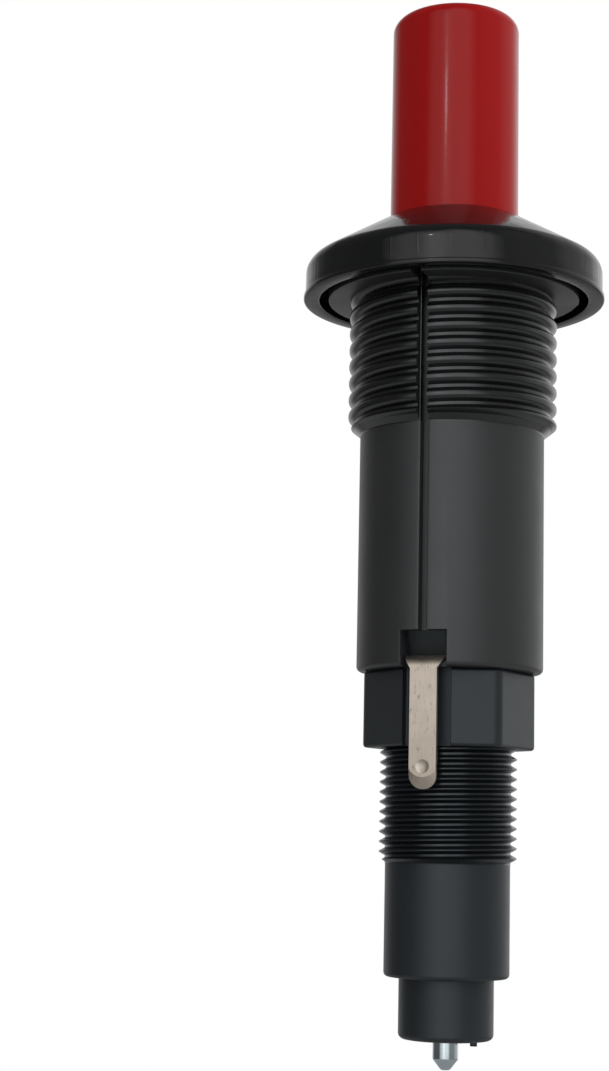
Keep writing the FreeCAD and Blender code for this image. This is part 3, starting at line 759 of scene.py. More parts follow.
class Finishes:
    """The finishes of the part, each made once."""

    RED = MouldedGloss("red_gloss", "red_plastic", (0.385, 0.006, 0.006), roughness=0.13, streaks=0.06,
                       ior=1.35)
    GLOSS_BLACK = MouldedGloss("black_gloss", "black_gloss_plastic", (0.008, 0.0085, 0.0085),
                               roughness=0.09, wave=0.08, streaks=0.2)
    BARREL_BLACK = MouldedSatin("black_satin_barrel", "black_plastic", (0.0215, 0.022, 0.0225),
                                polished=(-14.6, -0.3), depth=0.12, ior=1.72)
    HOUSING_BLACK = MouldedSatin("black_satin_housing", "black_plastic", (0.0135, 0.0175, 0.0205),
                                 polished=(-58.6, -47.1), depth=0.45, shine=(0.86, 0.95, 1.0))
    NICKEL = BrushedSheet("brushed_nickel", "nickel", (0.66, 0.58, 0.49))
    ZINC = TurnedMetal("bright_zinc", "zinc", (0.62, 0.7, 0.74), roughness=0.16)
    STEEL = TurnedMetal("turned_steel", "steel", (0.5, 0.5, 0.51), roughness=0.28)
    WIRE = TurnedMetal("drawn_wire", "spring_steel", (0.45, 0.45, 0.46), roughness=0.26, ring=0.2)
    BRASS = TurnedMetal("plain_brass", "brass", (0.75, 0.58, 0.28), roughness=0.3)
    ACETAL = PlainMoulding("natural_acetal", "white_plastic", (0.75, 0.74, 0.7))
    FILM = PlainMoulding("film_tube", "clear_plastic", (0.6, 0.58, 0.5), roughness=0.2, transmission=0.5)
    RUBBER = PlainMoulding("soft_rubber", "rubber", (0.03, 0.03, 0.03), roughness=0.7, grain=0.01)

    _made: dict[str, bpy.types.Material] = {}

    @classmethod
    def get(cls, finish: Finish) -> bpy.types.Material:
        """Gives the material of a finish, built the first time it is asked for."""
        if finish.name not in cls._made:
            cls._made[finish.name] = finish.material()
        return cls._made[finish.name]


class Assembly(ABC):
    """A sub-assembly that builds its pieces and puts them into the frame."""

    @abstractmethod
    def build(self) -> None:
        """Builds every piece of the sub-assembly."""

    @staticmethod
    def hand_over(piece: Piece, node: str, finish: Finish) -> Piece:
        """Dresses a piece, puts it on its node's body and lets it stand for that node.

        Args:
            piece: the finished mesh.
            node: the solid that it replaces.
            finish: its surface.

        Returns:
            The same piece.
        """
        piece.data.name = piece.name
        piece.data.materials.clear()
        piece.data.materials.append(Finishes.get(finish))
        members = frame["record"]["behaviour"]["bodies"]
        body = next(name for name, nodes in members.items() if node in nodes)
        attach(piece, body)
        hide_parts(node)
        log.info("%s for %s on %s: %d faces", piece.name, node, body, len(piece.data.polygons))
        return piece


def spans(node: str) -> tuple[float, float]:
    """Gives a node's lowest and highest level in millimetres."""
    low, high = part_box(node)
    return low.z / MM, high.z / MM


@dataclass
class PushButton(Assembly):
    """The red button: drafted side, low crown, retaining flange and hollow core."""

    radius: float = 6.78
    top_radius: float = 6.74
    top: float = 31.27
    crown_height: float = 0.2
    crown_edge: float = 1.45        # rounding between the side and the crown
    flange_radius: float = 8.0
    flange_top: float = -1.05
    side_start: float = 4.5         # level where the draft starts
    core_radius: float = 4.5
    socket_radius: float = 5.25
    socket_top: float = 12.0
    wall: float = 2.1

    def build(self) -> None:
        """Builds the button."""
        bottom = spans("button")[0]
        rim = self.top - self.crown_height
        skin = [
            (0.0, self.top, 0),
            (self.top_radius / 2, self.top - self.crown_height / 4, 0),
            (self.top_radius, rim, self.crown_edge),
            (self.radius, self.side_start, 0),
            (self.radius, self.flange_top, 0.1),
            (self.flange_radius, self.flange_top, 0.15),
            (self.flange_radius, bottom, 0.15),
            (self.socket_radius, bottom, 0.1),
            (self.socket_radius, self.socket_top, 0),
            (self.core_radius, self.socket_top, 0),
            (self.core_radius, rim - self.wall, 0.6),
            (0.0, rim - self.wall, 0),
        ]
        piece = Bench.turned("button_cap", rounded(skin, steps=14, closed=False))
        self.hand_over(Bench.smooth(piece, 38), "button", Finishes.RED)


@dataclass
class BezelCap(Assembly):
    """The glossy domed cap: lipped rim, cone up to the button, hub and inner ribs."""

    radius: float = 15.65
    lip: float = 0.2
    lip_height: float = 0.5
    corner_level: float = 3.8
    corner_round: float = 1.8
    slope: float = 30.0
    wall: float = 1.45
    hole_radius: float = 7.0
    hole_round: float = 0.3
    collar_radius: float = 7.95
    collar_top: float = 4.55
    hub_wall: float = 1.3
    hub_level: float = 2.2
    ribs: int = 6
    rib_width: float = 1.0

    def cone(self, radius: float) -> float:
        """Gives the level of the cone at a distance from the axis."""
        return self.corner_level + (self.radius - radius) * math.tan(math.radians(self.slope))

    def build(self) -> None:
        """Builds the bezel."""
        skin = self.wall / math.cos(math.radians(self.slope))
        bore = self.radius - self.wall
        hub = self.collar_radius + self.hub_wall
        section = rounded([
            (bore, 0, 0.08),
            (self.radius + self.lip, 0, 0.14),
            (self.radius + self.lip, self.lip_height, 0.14),
            (self.radius, self.lip_height, 0.06),
            (self.radius, self.corner_level, self.corner_round),
            (self.hole_radius, self.cone(self.hole_radius), self.hole_round),
            (self.hole_radius, self.collar_top, 0),
            (self.collar_radius, self.collar_top, 0),
            (self.collar_radius, self.hub_level, 0),
            (hub, self.hub_level, 0.1),
            (hub, self.cone(hub) - skin, 0.3),
            (bore, self.cone(bore) - skin, self.corner_round - self.wall),
        ], steps=10)
        piece = Bench.turned("bezel_cap", section, steps=192)
        inner, outer = hub - self.hub_wall / 2, bore - self.wall
        outline = [
            (inner, self.hub_level),
            (outer, self.hub_level),
            (outer, self.cone(outer) - skin / 2),
            (inner, self.cone(inner) - skin / 2),
        ]
        half = self.rib_width / 2
        for k in range(self.ribs):
            rib = Bench.raised("rib", outline, Sheet.FRONT, -half, half)
            Bench.swing(rib, 360 * k / self.ribs)
            Bench.joined(piece, rib, Joining.ADD)
        self.hand_over(Bench.smooth(piece), "bezel", Finishes.GLOSS_BLACK)


@dataclass(frozen=True)
class Thread:
    """A right-hand screw thread."""

    pitch: float
    crest_radius: float
    root_radius: float
    crest_width: float
    root_width: float
    crest_round: float
    crest_level: float          # level of a crest where the thread passes +X
    steps: int                  # facets in one turn

    def ridge(self, name: str, bottom: float, top: float, start: float = 90.0) -> Piece:
        """Winds the ridge.

        Args:
            name: of the new piece.
            bottom: level that its first crest is at or below.
            top: level that its last crest reaches.
            start: angle of its lower end, in degrees from +X.

        Returns:
            The ridge, buried a little in its root.
        """
        half_crest = self.crest_width / 2
        half_base = (self.pitch - self.root_width) / 2
        depth = self.crest_radius - self.root_radius
        bury = depth / 4
        flare = (half_base - half_crest) * bury / depth
        inner = self.root_radius - bury
        first = self.crest_level + self.pitch * start / 360
        first -= math.ceil((first - bottom) / self.pitch) * self.pitch
        section = rounded([
            (inner, first - half_base - flare * 0.5, 0),
            (self.root_radius, first - half_base, 0),
            (self.crest_radius, first - half_crest, self.crest_round),
            (self.crest_radius, first + half_crest, self.crest_round),
            (self.root_radius, first + half_base, 0),
            (inner, first + half_base + flare * 0.5, 0),
        ], steps=4)
        turns = (top - first) / self.pitch
        ridge = Bench.wound(name, section, self.pitch, turns, self.steps)
        return Bench.swing(ridge, start)


@dataclass
class ThreadedBarrel(Assembly):
    """The barrel moulding: flange, collar, coarse threaded neck, key groove and notch."""

    bore: float = 8.2
    bore_top: float = 0.5
    hole_radius: float = 7.0
    radius: float = 9.6
    edge_round: float = 0.5
    neck_end: float = -14.2
    neck_chamfer: float = 0.55
    flange_radius: float = 13.2
    flange_height: float = 2.2
    collar_radius: float = 7.9
    collar_top: float = 4.5
    groove_width: float = 0.8
    groove_floor: float = 8.5
    notch_width: float = 4.6
    notch_height: float = 3.6
    groove_round: float = 0.14      # rounding of its edges
    notch_round: float = 0.35
    pad_inner: float = 10.9
    pad_depth: float = 0.25
    pad_angles: tuple[float, float] = (20.0, 70.0)
    thread: Thread = field(default_factory=lambda: Thread(
        pitch=1.78, crest_radius=10.9, root_radius=10.32, crest_width=0.62, root_width=0.3,
        crest_round=0.5, crest_level=-1.0, steps=120))

    def build(self) -> None:
        """Builds the barrel."""
        bottom = spans("barrel")[0]
        root = self.thread.root_radius
        body = Bench.turned("barrel_body", rounded([
            (self.hole_radius, self.bore_top, 0.1),
            (self.bore, self.bore_top, 0),
            (self.bore, bottom, 0.2),
            (self.radius, bottom, self.edge_round),
            (self.radius, self.neck_end - self.neck_chamfer / 2, 0.1),
            (root, self.neck_end + self.neck_chamfer / 2, 0.1),
            (root, 0, 0.12),
            (self.flange_radius, 0, 0.1),
            (self.flange_radius, self.flange_height, 0.1),
            (self.collar_radius, self.flange_height, 0),
            (self.collar_radius, self.collar_top, 0.1),
            (self.hole_radius, self.collar_top, 0.1),
        ]))
        ridge = self.thread.ridge("ridge", self.neck_end - 1.0, self.thread.pitch / 3)
        Bench.joined(ridge, self.end_cutter(), Joining.CUT)
        Bench.joined(body, ridge, Joining.ADD)
        notch_top = bottom + self.notch_height
        Bench.joined(body, self.slot("groove", self.groove_width, self.groove_floor, self.groove_round,
                                     notch_top - 0.05, self.flange_height + 1), Joining.CUT)
        Bench.joined(body, self.slot("notch", self.notch_width, self.bore / 2, self.notch_round,
                                     bottom - 1, notch_top), Joining.CUT)
        Bench.joined(body, self.pad(), Joining.CUT)
        self.hand_over(Bench.smooth(body), "barrel", Finishes.BARREL_BLACK)

    def end_cutter(self) -> Piece:
        """Makes the ring that trims the thread at the neck's lower end."""
        past = self.thread.crest_radius + 1
        reach = past - self.thread.root_radius
        start = self.neck_end + self.neck_chamfer / 2
        low = start - 3 - self.thread.pitch
        return Bench.turned("trim", [
            (self.radius - 1, low),
            (past, low),
            (past, start + reach * 0.8),
            (self.thread.root_radius, start),
            (self.radius - 1, start - 0.4),
        ])

    def slot(self, name: str, width: float, floor: float, ease: float, low: float, high: float) -> Piece:
        """Makes a cutter for a slot in the barrel's front, flared where it meets the surface.

        Args:
            name: of the cutter.
            width: of the slot.
            floor: distance of its floor from the axis.
            ease: rounding of its edges at the surface.
            low: level of its lower end.
            high: level of its upper end.

        Returns:
            The cutter.
        """
        half, past = width / 2, self.flange_radius + 1
        surface = math.sqrt(self.radius ** 2 - half ** 2)
        bend = arc((half + ease, -(surface - ease)), ease, 180, 270, 4)
        right = [(half, -floor), *bend, (half + ease, -past)]
        left = [(-x, y) for x, y in reversed(right)]
        return Bench.raised(name, right + left, Sheet.TOP, low, high)

    def pad(self) -> Piece:
        """Makes the cutter for the sunk pad under the flange."""
        start, end = self.pad_angles
        outer = arc((0, 0), self.flange_radius + 1, start, end, 12)
        inner = arc((0, 0), self.pad_inner, end, start, 12)
        return Bench.raised("pad", outer + inner, Sheet.TOP, -0.01, self.pad_depth)


@dataclass
class LowerHousing(Assembly):
    """The insulating moulding: spigot, hexagon, fine fixing thread, shank and tip."""

    spigot_radius: float = 8.15
    hex_top: float = -39.2
    hex_bottom: float = -47.0
    across_flats: float = 15.55
    corner_round: float = 1.3
    hex_turn: float = -9.0           # degrees from a corner in front to where it stands
    hex_edge: float = 0.35
    channel_width: float = 4.9
    channel_floor: float = 6.95
    thread_end: float = -58.6
    shank_radius: float = 6.35
    shank_end: float = -69.9
    shank_round: float = 0.45
    tip_radius: float = 4.8
    tip_round: float = 0.6
    stack_radius: float = 4.0
    stack_floor: float = -69.3
    mouth_radius: float = 5.5
    terminal_seat: float = -43.5
    spring_radius: float = 2.15
    pin_seat: float = -74.0
    pin_radius: float = 1.65
    strap_half: float = 2.15
    strap_floor: float = -38.55
    strap_roof: float = -37.95
    pocket_floor: float = 6.4           # of the recess above the strap, from the axis
    pocket_lean: float = 1.5            # how much further out it is at its top
    gate_place: Point = (2.7, 0.75)
    gate_radius: float = 0.36
    gate_height: float = 0.6
    thread: Thread = field(default_factory=lambda: Thread(
        pitch=1.0, crest_radius=7.0, root_radius=6.4, crest_width=0.14, root_width=0.2,
        crest_round=0.06, crest_level=-50.0, steps=96))

    def build(self) -> None:
        """Builds the lower housing."""
        bottom, top = spans("lower_housing")
        root = self.thread.root_radius
        body = Bench.turned("housing_body", rounded([
            (0, bottom, 0),
            (self.tip_radius, bottom, self.tip_round),
            (self.tip_radius, self.shank_end, 0.15),
            (self.shank_radius, self.shank_end, self.shank_round),
            (self.shank_radius, self.thread_end - 0.1, 0),
            (root, self.thread_end + 0.1, 0),
            (root, self.hex_top, 0),
            (self.spigot_radius, self.hex_top, 0),
            (self.spigot_radius, top, 0.2),
            (0, top, 0),
        ], closed=False))
        ridge = self.thread.ridge("ridge", self.thread_end - 0.5, self.hex_bottom + 0.6)
        Bench.joined(ridge, self.end_cutter(), Joining.CUT)
        Bench.joined(body, self.hexagon(), Joining.ADD)
        Bench.joined(body, ridge, Joining.ADD)
        Bench.joined(body, self.gate(bottom), Joining.ADD)
        for cutter in self.cutters(bottom, top):
            Bench.joined(body, cutter, Joining.CUT)
        self.hand_over(Bench.flattened(Bench.smooth(body)), "lower_housing", Finishes.HOUSING_BLACK)

    def end_cutter(self) -> Piece:
        """Makes the ring that chamfers the thread's lower end."""
        past = self.thread.crest_radius + 1
        start = self.thread_end + 0.1
        return Bench.turned("trim", [
            (root_inside := self.thread.root_radius - 1, start - 3),
            (past, start - 3),
            (past, start + (past - self.thread.root_radius) * 0.8),
            (self.thread.root_radius, start),
            (root_inside, start - 0.2),
        ])

    def hexagon(self) -> Piece:
        """Makes the hexagonal boss, its upright corners rounded and its lower edges eased."""
        corner = self.across_flats / math.sqrt(3)
        outline = []
        for k in range(6):
            turn = math.radians(60 * k - 90 + self.hex_turn)
            outline.append((corner * math.cos(turn), corner * math.sin(turn), self.corner_round))
        shape = Bench.raised("hexagon", rounded(outline, steps=6), Sheet.TOP, self.hex_bottom, self.hex_top)
        Bench.softened(shape, self.hex_edge, angle=60, segments=4)
        return shape

    def gate(self, bottom: float) -> Piece:
        """Makes the nib that the moulding gate leaves under the tip."""
        x, y = self.gate_place
        outline = arc((x, y), self.gate_radius, 0, 345, 23)
        return Bench.raised("gate", outline, Sheet.TOP, bottom - self.gate_height, bottom + 0.3)

    def cutters(self, bottom: float, top: float) -> list[Piece]:
        """Makes the cutters for the bores, the tab's channel and the terminal's slots.

        Args:
            bottom: level of the tip's end.
            top: level of the spigot's end.

        Returns:
            The cutters.
        """
        bores = Bench.turned("bores", [
            (0, top + 1),
            (self.mouth_radius, top + 1),
            (self.mouth_radius, self.terminal_seat),
            (self.stack_radius, self.terminal_seat),
            (self.stack_radius, self.stack_floor),
            (self.spring_radius, self.stack_floor),
            (self.spring_radius, self.pin_seat),
            (self.pin_radius, self.pin_seat),
            (self.pin_radius, bottom - 1),
            (0, bottom - 1),
        ], steps=96)
        half = self.channel_width / 2
        far = self.across_flats
        channel = Bench.raised("channel", rounded([
            (-half, -far, 0),
            (half, -far, 0),
            (half, -self.channel_floor, 0.2),
            (-half, -self.channel_floor, 0.2),
        ]), Sheet.TOP, self.hex_bottom - 0.01, self.hex_top + 0.01)
        inside = self.mouth_radius - 0.5
        slots = []
        past = self.spigot_radius + 1
        for name, outside, floor, roof in (
                ("strap_slot", past, self.strap_floor, self.strap_roof),
                ("leg_slot", self.mouth_radius + 0.65, self.terminal_seat, top + 1)):
            outline = [(-self.strap_half, -outside), (self.strap_half, -outside),
                       (self.strap_half, -inside), (-self.strap_half, -inside)]
            slots.append(Bench.raised(name, outline, Sheet.TOP, floor, roof))
        low, high = self.strap_roof - 0.1, top + 1
        pocket = Bench.raised("pocket", [
            (-past, low), (-self.pocket_floor, low),
            (-self.pocket_floor - self.pocket_lean, high), (-past, high),
        ], Sheet.SIDE, -self.strap_half, self.strap_half)
        return [bores, channel, *slots, pocket]


@dataclass
class EarthTerminal(Assembly):
    """The stamped earth terminal: eyelet, leg, strap over the wall, and blade tab."""

    sheet: float = 0.5
    face: float = 9.0               # outer face of the tab, from the axis
    leg: float = 5.55               # inner face of the leg, from the axis
    bend: float = 1.3
    strap_top: float = -38.05
    seat: float = -43.5
    strap_width: float = 4.2
    tab_width: float = 2.8
    taper: tuple[float, float] = (-39.4, -38.3)     # levels between which the strap narrows
    end_round: float = 1.3
    eyelet_outer: float = 5.3
    eyelet_inner: float = 3.3
    edge: float = 0.23
    dimple_rise: float = 2.2
    dimple_radius: float = 0.7
    dimple_depth: float = 0.1
    coin_rise: float = 1.15         # height of the coined end at its middle
    coin_sides: float = 2.0         # and where it meets the tab's sides
    coin_depth: float = 0.3

    def build(self) -> None:
        """Builds the terminal."""
        end = spans("ground_terminal")[0]
        inner = self.bend - self.sheet
        strip = Bench.raised("earth_blade", rounded([
            (-self.face, end, 0),
            (-(self.face - self.sheet), end, 0),
            (-(self.face - self.sheet), self.strap_top - self.sheet, inner),
            (-(self.leg + self.sheet), self.strap_top - self.sheet, inner),
            (-(self.leg + self.sheet), self.seat, 0),
            (-self.leg, self.seat, 0),
            (-self.leg, self.strap_top, self.bend),
            (-self.face, self.strap_top, self.bend),
        ], steps=8), Sheet.SIDE, -self.strap_width / 2, self.strap_width / 2)
        for side in (-1, 1):
            Bench.joined(strip, self.side_cutter(side, end), Joining.CUT)
        Bench.joined(strip, self.eyelet(), Joining.ADD)
        Bench.softened(strip, self.edge, angle=50, segments=4)
        Bench.joined(strip, self.coin(end), Joining.CUT)
        Bench.joined(strip, self.dimple(end), Joining.CUT)
        self.hand_over(Bench.flattened(Bench.smooth(strip, 14)), "ground_terminal", Finishes.NICKEL)

    def side_cutter(self, side: int, end: float) -> Piece:
        """Makes the cutter that narrows the strap to the tab on one side and rounds its end.

        Args:
            side: -1 for the left and 1 for the right.
            end: level of the tab's end.

        Returns:
            The cutter.
        """
        half, past = self.tab_width / 2, self.strap_width
        corner = arc((half - self.end_round, end + self.end_round), self.end_round, 270, 360, 10)
        outline = [(0.0, end - 1), (half - self.end_round, end - 1), *corner,
                   (half, self.taper[0]), (self.strap_width / 2 + 0.01, self.taper[1]),
                   (past, self.taper[1]), (past, end - 1.5), (0.0, end - 1.5)]
        outline = [(side * x, z) for x, z in outline]
        return Bench.raised("side", outline, Sheet.FRONT, -self.face - 1, -self.face + self.bend + 0.2)

    def eyelet(self) -> Piece:
        """Makes the eyelet round the anvil, with the foot that carries it."""
        top = self.seat + self.sheet
        ring = Bench.turned("eyelet", [
            (self.eyelet_inner, self.seat),
            (self.eyelet_outer, self.seat),
            (self.eyelet_outer, top),
            (self.eyelet_inner, top),
        ], steps=96)
        half = self.strap_width / 2
        near, far = -(self.eyelet_inner + 0.7), -(self.leg + self.sheet / 2)
        foot = [(-half, far), (half, far), (half, near), (-half, near)]
        return Bench.joined(ring, Bench.raised("foot", foot, Sheet.TOP, self.seat, top), Joining.ADD)

    def coin(self, end: float) -> Piece:
        """Makes the cutter that slopes the tab's end, whose upper border is a wide arc.

        Args:
            end: level of the tab's end.

        Returns:
            The cutter, a block with a flat cone taken out of it.
        """
        half, rise, sides = self.tab_width / 2, self.coin_rise, self.coin_sides
        centre = (sides ** 2 + half ** 2 - rise ** 2) / (2 * (sides - rise))
        border = centre - rise
        slope = self.coin_depth / rise
        past, low, high = half + 1, end - 1, end + sides
        outline = [(-past, low), (past, low), (past, high), (-past, high)]
        block = Bench.raised("coin", outline, Sheet.FRONT, -self.face - 1, -self.face + self.sheet)
        base = border + self.sheet * 2 / slope
        tall = base * slope
        bpy.ops.object.select_all(action="DESELECT")
        bpy.ops.mesh.primitive_cone_add(
            vertices=128, radius1=base * MM, radius2=0, depth=tall * MM, rotation=(math.pi / 2, 0, 0),
            location=Vector((0, -self.face - border * slope + tall / 2, end + centre)) * MM)
        cone = bpy.context.object
        bpy.ops.object.transform_apply(location=True, rotation=True, scale=True)
        return Bench.joined(block, cone, Joining.CUT)

    def dimple(self, end: float) -> Piece:
        """Makes the ball that presses the detent into the tab's face."""
        radius, depth = self.dimple_radius, self.dimple_depth
        ball = (radius ** 2 + depth ** 2) / (2 * depth)
        bpy.ops.object.select_all(action="DESELECT")
        bpy.ops.mesh.primitive_uv_sphere_add(
            segments=64, ring_count=48, radius=ball * MM,
            location=Vector((0, -self.face - ball + depth, end + self.dimple_rise)) * MM)
        return bpy.context.object


@dataclass
class SparkPin(Assembly):
    """The bright turned pin, with its head in the housing and a rounded point outside."""

    radius: float = 1.3
    shank_radius: float = 1.6
    head_radius: float = 2.1
    shank_end: float = -76.0
    head_seat: float = -74.0
    point_length: float = 1.1
    point_radius: float = 0.45

    def build(self) -> None:
        """Builds the pin."""
        end, top = spans("hv_pin")
        section = rounded([
            (0, end, 0),
            (self.point_radius, end, self.point_radius * 0.8),
            (self.radius, end + self.point_length, 0.25),
            (self.radius, self.shank_end, 0),
            (self.shank_radius, self.shank_end, 0.05),
            (self.shank_radius, self.head_seat, 0),
            (self.head_radius, self.head_seat, 0.1),
            (self.head_radius, top, 0.1),
            (0, top, 0),
        ], closed=False)
        piece = Bench.turned("spark_pin", section, steps=96)
        self.hand_over(Bench.smooth(piece), "hv_pin", Finishes.ZINC)


@dataclass(frozen=True)
class Coil:
    """A round-wire compression spring with one closed turn at each end."""

    name: str
    node: str
    mean_radius: float
    wire: float
    turns: float
    sides: int = 12
    steps: int = 36

    def build(self) -> Piece:
        """Winds the spring between its node's ends and closes its end turns."""
        low, high = spans(self.node)
        circle = arc((self.mean_radius, 0), self.wire / 2, 0, 360 - 360 / self.sides, self.sides - 1)
        wound = self.turns + 2
        piece = Bench.wound(self.name, circle, 1.0, wound, self.steps)
        count = round(self.steps * wound)
        start, end = low + self.wire / 2, high - self.wire / 2
        dead = self.wire * 1.02
        active = (end - start - 2 * dead) / self.turns
        for index, vertex in enumerate(piece.data.vertices):
            step = min(index // self.sides, count)
            done = step / self.steps
            level = start + dead * min(done, 1) + active * min(max(done - 1, 0), self.turns)
            level += dead * max(done - 1 - self.turns, 0)
            vertex.co.z += (level - done) * MM
        return Bench.smooth(piece, 60)


@dataclass
class Springs(Assembly):
    """The three springs; the two that the button works against each get a mesh of their own."""

    stroke: float = 11.0
    hammer_travel: float = 7.0
    coils: tuple[Coil, ...] = (
        Coil("return_coil", "return_spring", 6.7, 0.8, 5.0),
        Coil("impact_coil", "impact_spring", 3.15, 0.9, 9.0),
        Coil("contact_coil", "contact_spring", 1.7, 0.4, 4.0),
    )

    def build(self) -> None:
        """Builds the springs."""
        made = {coil.node: Assembly.hand_over(coil.build(), coil.node, Finishes.WIRE)
                for coil in self.coils}
        seats = {"return_spring": (0, self.stroke), "impact_spring": (1, self.stroke - self.hammer_travel)}
        for node, (end, loss) in seats.items():
            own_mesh(made[node])


@dataclass
class StrikerAndStack(Assembly):
    """The pieces inside: plunger, sleeve, hammer, anvil, piezo stack and its contacts."""

    edge: float = 0.08
    bevelled: tuple[str, ...] = ("stop_ring", "hammer_pin", "spring_guide", "anvil", "end_contact")

    def build(self) -> None:
        """Builds a clean copy of each inner solid."""
        finishes = {
            "stop_ring": Finishes.RUBBER,
            "plunger": Finishes.ACETAL,
            "latch_sleeve": Finishes.ACETAL,
            "spring_guide": Finishes.ACETAL,
            "hammer": Finishes.STEEL,
            "hammer_pin": Finishes.STEEL,
            "anvil": Finishes.STEEL,
            "centre_contact": Finishes.BRASS,
            "end_contact": Finishes.BRASS,
            "insulating_tube": Finishes.FILM,
        }
        for node in ("piezo_element_upper", "piezo_element_lower"):
            low, high = spans(node)
            finishes[node] = SilveredCeramic("silvered_" + node, "ceramic", (0.55, 0.5, 0.4), low, high)
        for node, finish in finishes.items():
            piece = self.copied(node)
            if node in self.bevelled:
                Bench.softened(piece, self.edge, angle=50, segments=2)
            self.hand_over(Bench.smooth(piece), node, finish)

    @staticmethod
    def copied(node: str) -> Piece:
        """Copies a solid's mesh, merges its loose triangles and clears its flat faces.

        Args:
            node: the solid.

        Returns:
            The copy, at the origin.
        """
        Bench.pick(frame["nodes"][node])
        bpy.ops.object.duplicate()
        piece = bpy.context.object
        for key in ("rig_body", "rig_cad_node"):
            del piece[key]
        piece.parent = None
        piece.name = node + "_piece"
        Bench.edit(piece)
        bpy.ops.mesh.remove_doubles(threshold=MERGE_DISTANCE * 10)
        bpy.ops.mesh.dissolve_limited(angle_limit=math.radians(1))
        Bench.close()
        return piece


@dataclass(frozen=True)
class Softbox:
    """A rectangular lamp aimed at the object."""

    name: str
    azimuth: float          # degrees, 0 in front of the tab and 90 to its right
    elevation: float        # degrees above the horizon
    across: float           # degrees that it spans, seen from the object
    up: float
    radiance: float
    reach: float = 0.6      # metres from its aim
    aim: tuple[float, float, float] = (0.0, 0.0, 0.025)

    def build(self) -> None:
        """Hangs the lamp."""
        lamp = bpy.data.lights.new(self.name, "AREA")
        lamp.shape = "RECTANGLE"
        lamp.size = 2 * self.reach * math.tan(math.radians(self.across / 2))
        lamp.size_y = 2 * self.reach * math.tan(math.radians(self.up / 2))
        lamp.energy = self.radiance * math.pi * lamp.size * lamp.size_y
        holder = bpy.data.objects.new(self.name, lamp)
        bpy.context.scene.collection.objects.link(holder)
        out = heading(self.azimuth, self.elevation)
        holder.location = Vector(self.aim) + out * self.reach
        holder.rotation_mode = "QUATERNION"
        holder.rotation_quaternion = out.to_track_quat("Z", "Y")


def heading(azimuth: float, elevation: float) -> Vector:
    """Gives the direction from the object to an azimuth and elevation in degrees."""
    turn, lift = math.radians(azimuth), math.radians(elevation)
    return Vector((math.sin(turn) * math.cos(lift), -math.cos(turn) * math.cos(lift), math.sin(lift)))


@dataclass(frozen=True)
class GlowPanel:
    """A soft-edged upright panel that gloss reflects, part of the studio's walls."""

    azimuth: float
    core: float             # degrees from its middle to where it starts to fade
    edge: float             # degrees from its middle to where it ends
    radiance: float
    upright: float = 0.35   # below 1 it stands taller than wide

    def mask(self, graph: Graph, towards: Wire) -> Wire:
        """Gives the panel's light for a direction.

        Args:
            graph: of the world.
            towards: the direction.

        Returns:
            Its radiance there.
        """
        flat = graph.add("ShaderNodeVectorMath", {"operation": "MULTIPLY"},
                         {0: towards, 1: (1, 1, self.upright)})
        unit = graph.add("ShaderNodeVectorMath", {"operation": "NORMALIZE"}, {0: flat})
        along = graph.add("ShaderNodeVectorMath", {"operation": "DOT_PRODUCT"},
                          {0: unit, 1: tuple(heading(self.azimuth, 0))}, output="Value")
        start, full = (math.cos(math.radians(angle)) for angle in (self.edge, self.core))
        return along.above(start, full) * self.radiance


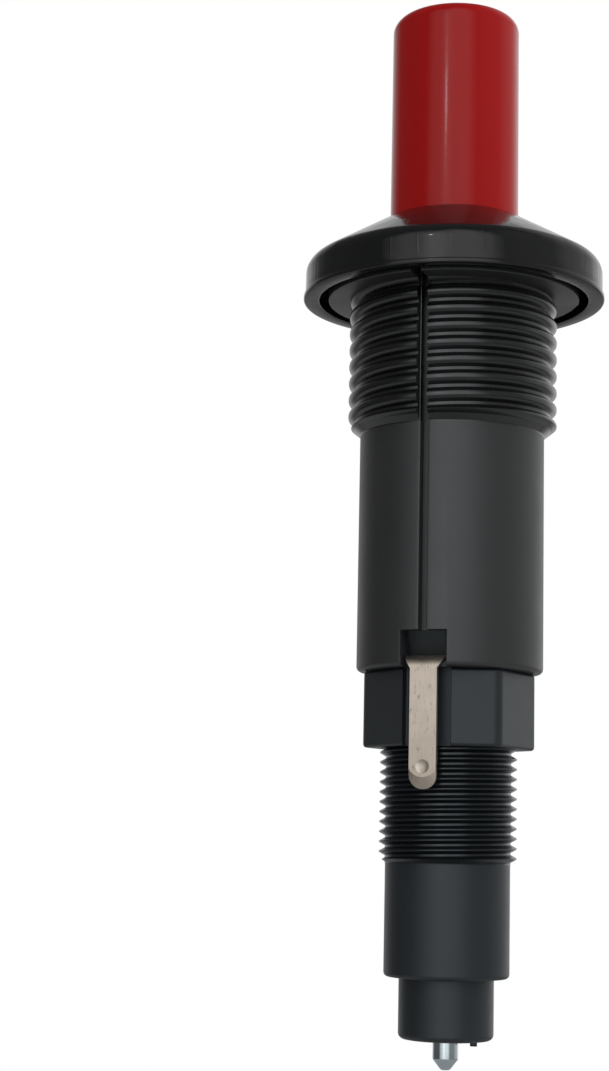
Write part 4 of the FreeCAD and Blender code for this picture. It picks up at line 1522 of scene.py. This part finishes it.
@dataclass
class Studio:
    """Camera, pale floor, white surroundings and soft lamps."""

    camera_azimuth: float = 16.7
    camera_distance: float = 0.2115     # metres, level, from the axis
    camera_level: float = -0.0565
    view_azimuth: float = 20.83
    view_pitch: float = 8.45
    view_roll: float = 1.215
    lens: float = 68.88
    floor_level: float = -0.3
    floor_radius: float = 0.7
    floor_colour: float = 0.3
    floor_glow: float = 0.9             # lifts the lit floor to white
    floor_gloss: float = 0.1            # share of the glow that gloss sees
    ambient: float = 0.82
    key_side: float = 0.45              # how much more light comes from the right than from the left
    room: float = 0.1                   # what gloss sees in front of the object
    backdrop: float = 0.8               # what gloss sees behind it
    below: float = 0.15                 # share of that light which comes from below the horizon
    panels: tuple[GlowPanel, ...] = (
        GlowPanel(22.0, 8.0, 36.0, 1.0),
        GlowPanel(-12.0, 5.0, 28.0, 0.7),
        GlowPanel(82.0, 10.0, 45.0, 0.17),
        GlowPanel(142.0, 12.0, 45.0, 0.42),
    )
    lamps: tuple[Softbox, ...] = (
        Softbox("strip", -0.1, 21.9, 1.6, 2.6, 24.0),
    )

    def build(self) -> None:
        """Sets up the whole studio."""
        self.camera()
        self.floor()
        self.world()
        for lamp in self.lamps:
            lamp.build()

    def camera(self) -> None:
        """Places the camera where the photograph was taken from."""
        data = bpy.data.cameras.new("camera")
        data.lens = self.lens
        data.clip_start, data.clip_end = 0.01, 20.0
        holder = bpy.data.objects.new("camera", data)
        bpy.context.scene.collection.objects.link(holder)
        place = heading(self.camera_azimuth, 0) * self.camera_distance
        place.z = self.camera_level
        ahead = -heading(self.view_azimuth, -self.view_pitch)
        turned = ahead.to_track_quat("-Z", "Y").to_matrix().to_4x4()
        roll = Matrix.Rotation(math.radians(self.view_roll), 4, ahead)
        holder.matrix_world = Matrix.Translation(place) @ roll.inverted() @ turned
        bpy.context.scene.camera = holder

    def floor(self) -> None:
        """Lays the pale floor."""
        bpy.ops.object.select_all(action="DESELECT")
        bpy.ops.mesh.primitive_circle_add(vertices=96, radius=self.floor_radius, fill_type="NGON",
                                          location=(0, 0, self.floor_level))
        disc = bpy.context.object
        disc.name = "floor"
        made = bpy.data.materials.new("floor")
        made.use_nodes = True
        graph = Graph(made.node_tree)
        pale = (self.floor_colour,) * 3 + (1.0,)
        matte = graph.add("ShaderNodeBsdfDiffuse", inputs={"Color": pale})
        seen = self.seen_directly(graph, self.floor_gloss)
        glow = graph.add("ShaderNodeEmission", inputs={"Strength": seen * self.floor_glow})
        both = graph.add("ShaderNodeAddShader", inputs={0: matte, 1: glow})
        graph.add("ShaderNodeOutputMaterial", inputs={"Surface": both})
        disc.data.materials.append(made)

    @staticmethod
    def seen_directly(graph: Graph, gloss: float) -> Wire:
        """Gives 1 for rays from the camera and through clear material, and a share for gloss.

        Args:
            graph: of the material.
            gloss: the share.

        Returns:
            The mask.
        """
        rays = [graph.add("ShaderNodeLightPath", output=kind)
                for kind in ("Is Camera Ray", "Is Glossy Ray", "Is Transmission Ray")]
        return rays[0] + rays[1] * gloss + rays[2]

    def world(self) -> None:
        """Surrounds the object with white for the camera, and with a studio for gloss."""
        world = bpy.data.worlds.new("studio")
        world.use_nodes = True
        bpy.context.scene.world = world
        graph = Graph(world.node_tree)
        towards = graph.add("ShaderNodeTexCoord", output="Generated")
        away = -heading(self.camera_azimuth, 0)
        right = heading(self.camera_azimuth + 90, 0)
        behind = graph.add("ShaderNodeVectorMath", {"operation": "DOT_PRODUCT"},
                           {0: towards, 1: tuple(away)}, output="Value")
        aside = graph.add("ShaderNodeVectorMath", {"operation": "DOT_PRODUCT"},
                          {0: towards, 1: tuple(right)}, output="Value")
        gloss = self.room + behind.above(0.45, 1.0) * (self.backdrop - self.room)
        for panel in self.panels:
            gloss = gloss + panel.mask(graph, towards)
        height = graph.part(towards, "Z")
        gloss = gloss * (self.below + height.above(-0.32, -0.12) * (1 - self.below))
        soft = self.ambient * (1 + aside * self.key_side)
        camera = graph.add("ShaderNodeLightPath", output="Is Camera Ray")
        clear = graph.add("ShaderNodeLightPath", output="Is Transmission Ray")
        glossy = graph.add("ShaderNodeLightPath", output="Is Glossy Ray")
        direct = (camera + clear).above(0.0, 1.0)
        rest = soft + glossy * (gloss - soft)
        strength = rest + direct * (1.0 - rest)
        sky = graph.add("ShaderNodeBackground", inputs={"Color": (1, 1, 1, 1), "Strength": strength})
        graph.add("ShaderNodeOutputWorld", inputs={"Surface": sky})


def main() -> None:
    """Builds the studio and every sub-assembly."""
    logging.basicConfig(level=logging.INFO, format="%(name)s: %(message)s")
    bpy.context.scene.view_settings.view_transform = "Standard"
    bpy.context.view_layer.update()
    Studio().build()
    parts = (PushButton(), BezelCap(), ThreadedBarrel(), LowerHousing(), EarthTerminal(), SparkPin(),
             Springs(), StrikerAndStack())
    for part in parts:
        log.info("building %s", type(part).__name__)
        part.build()


if __name__ == "__main__":
    main()
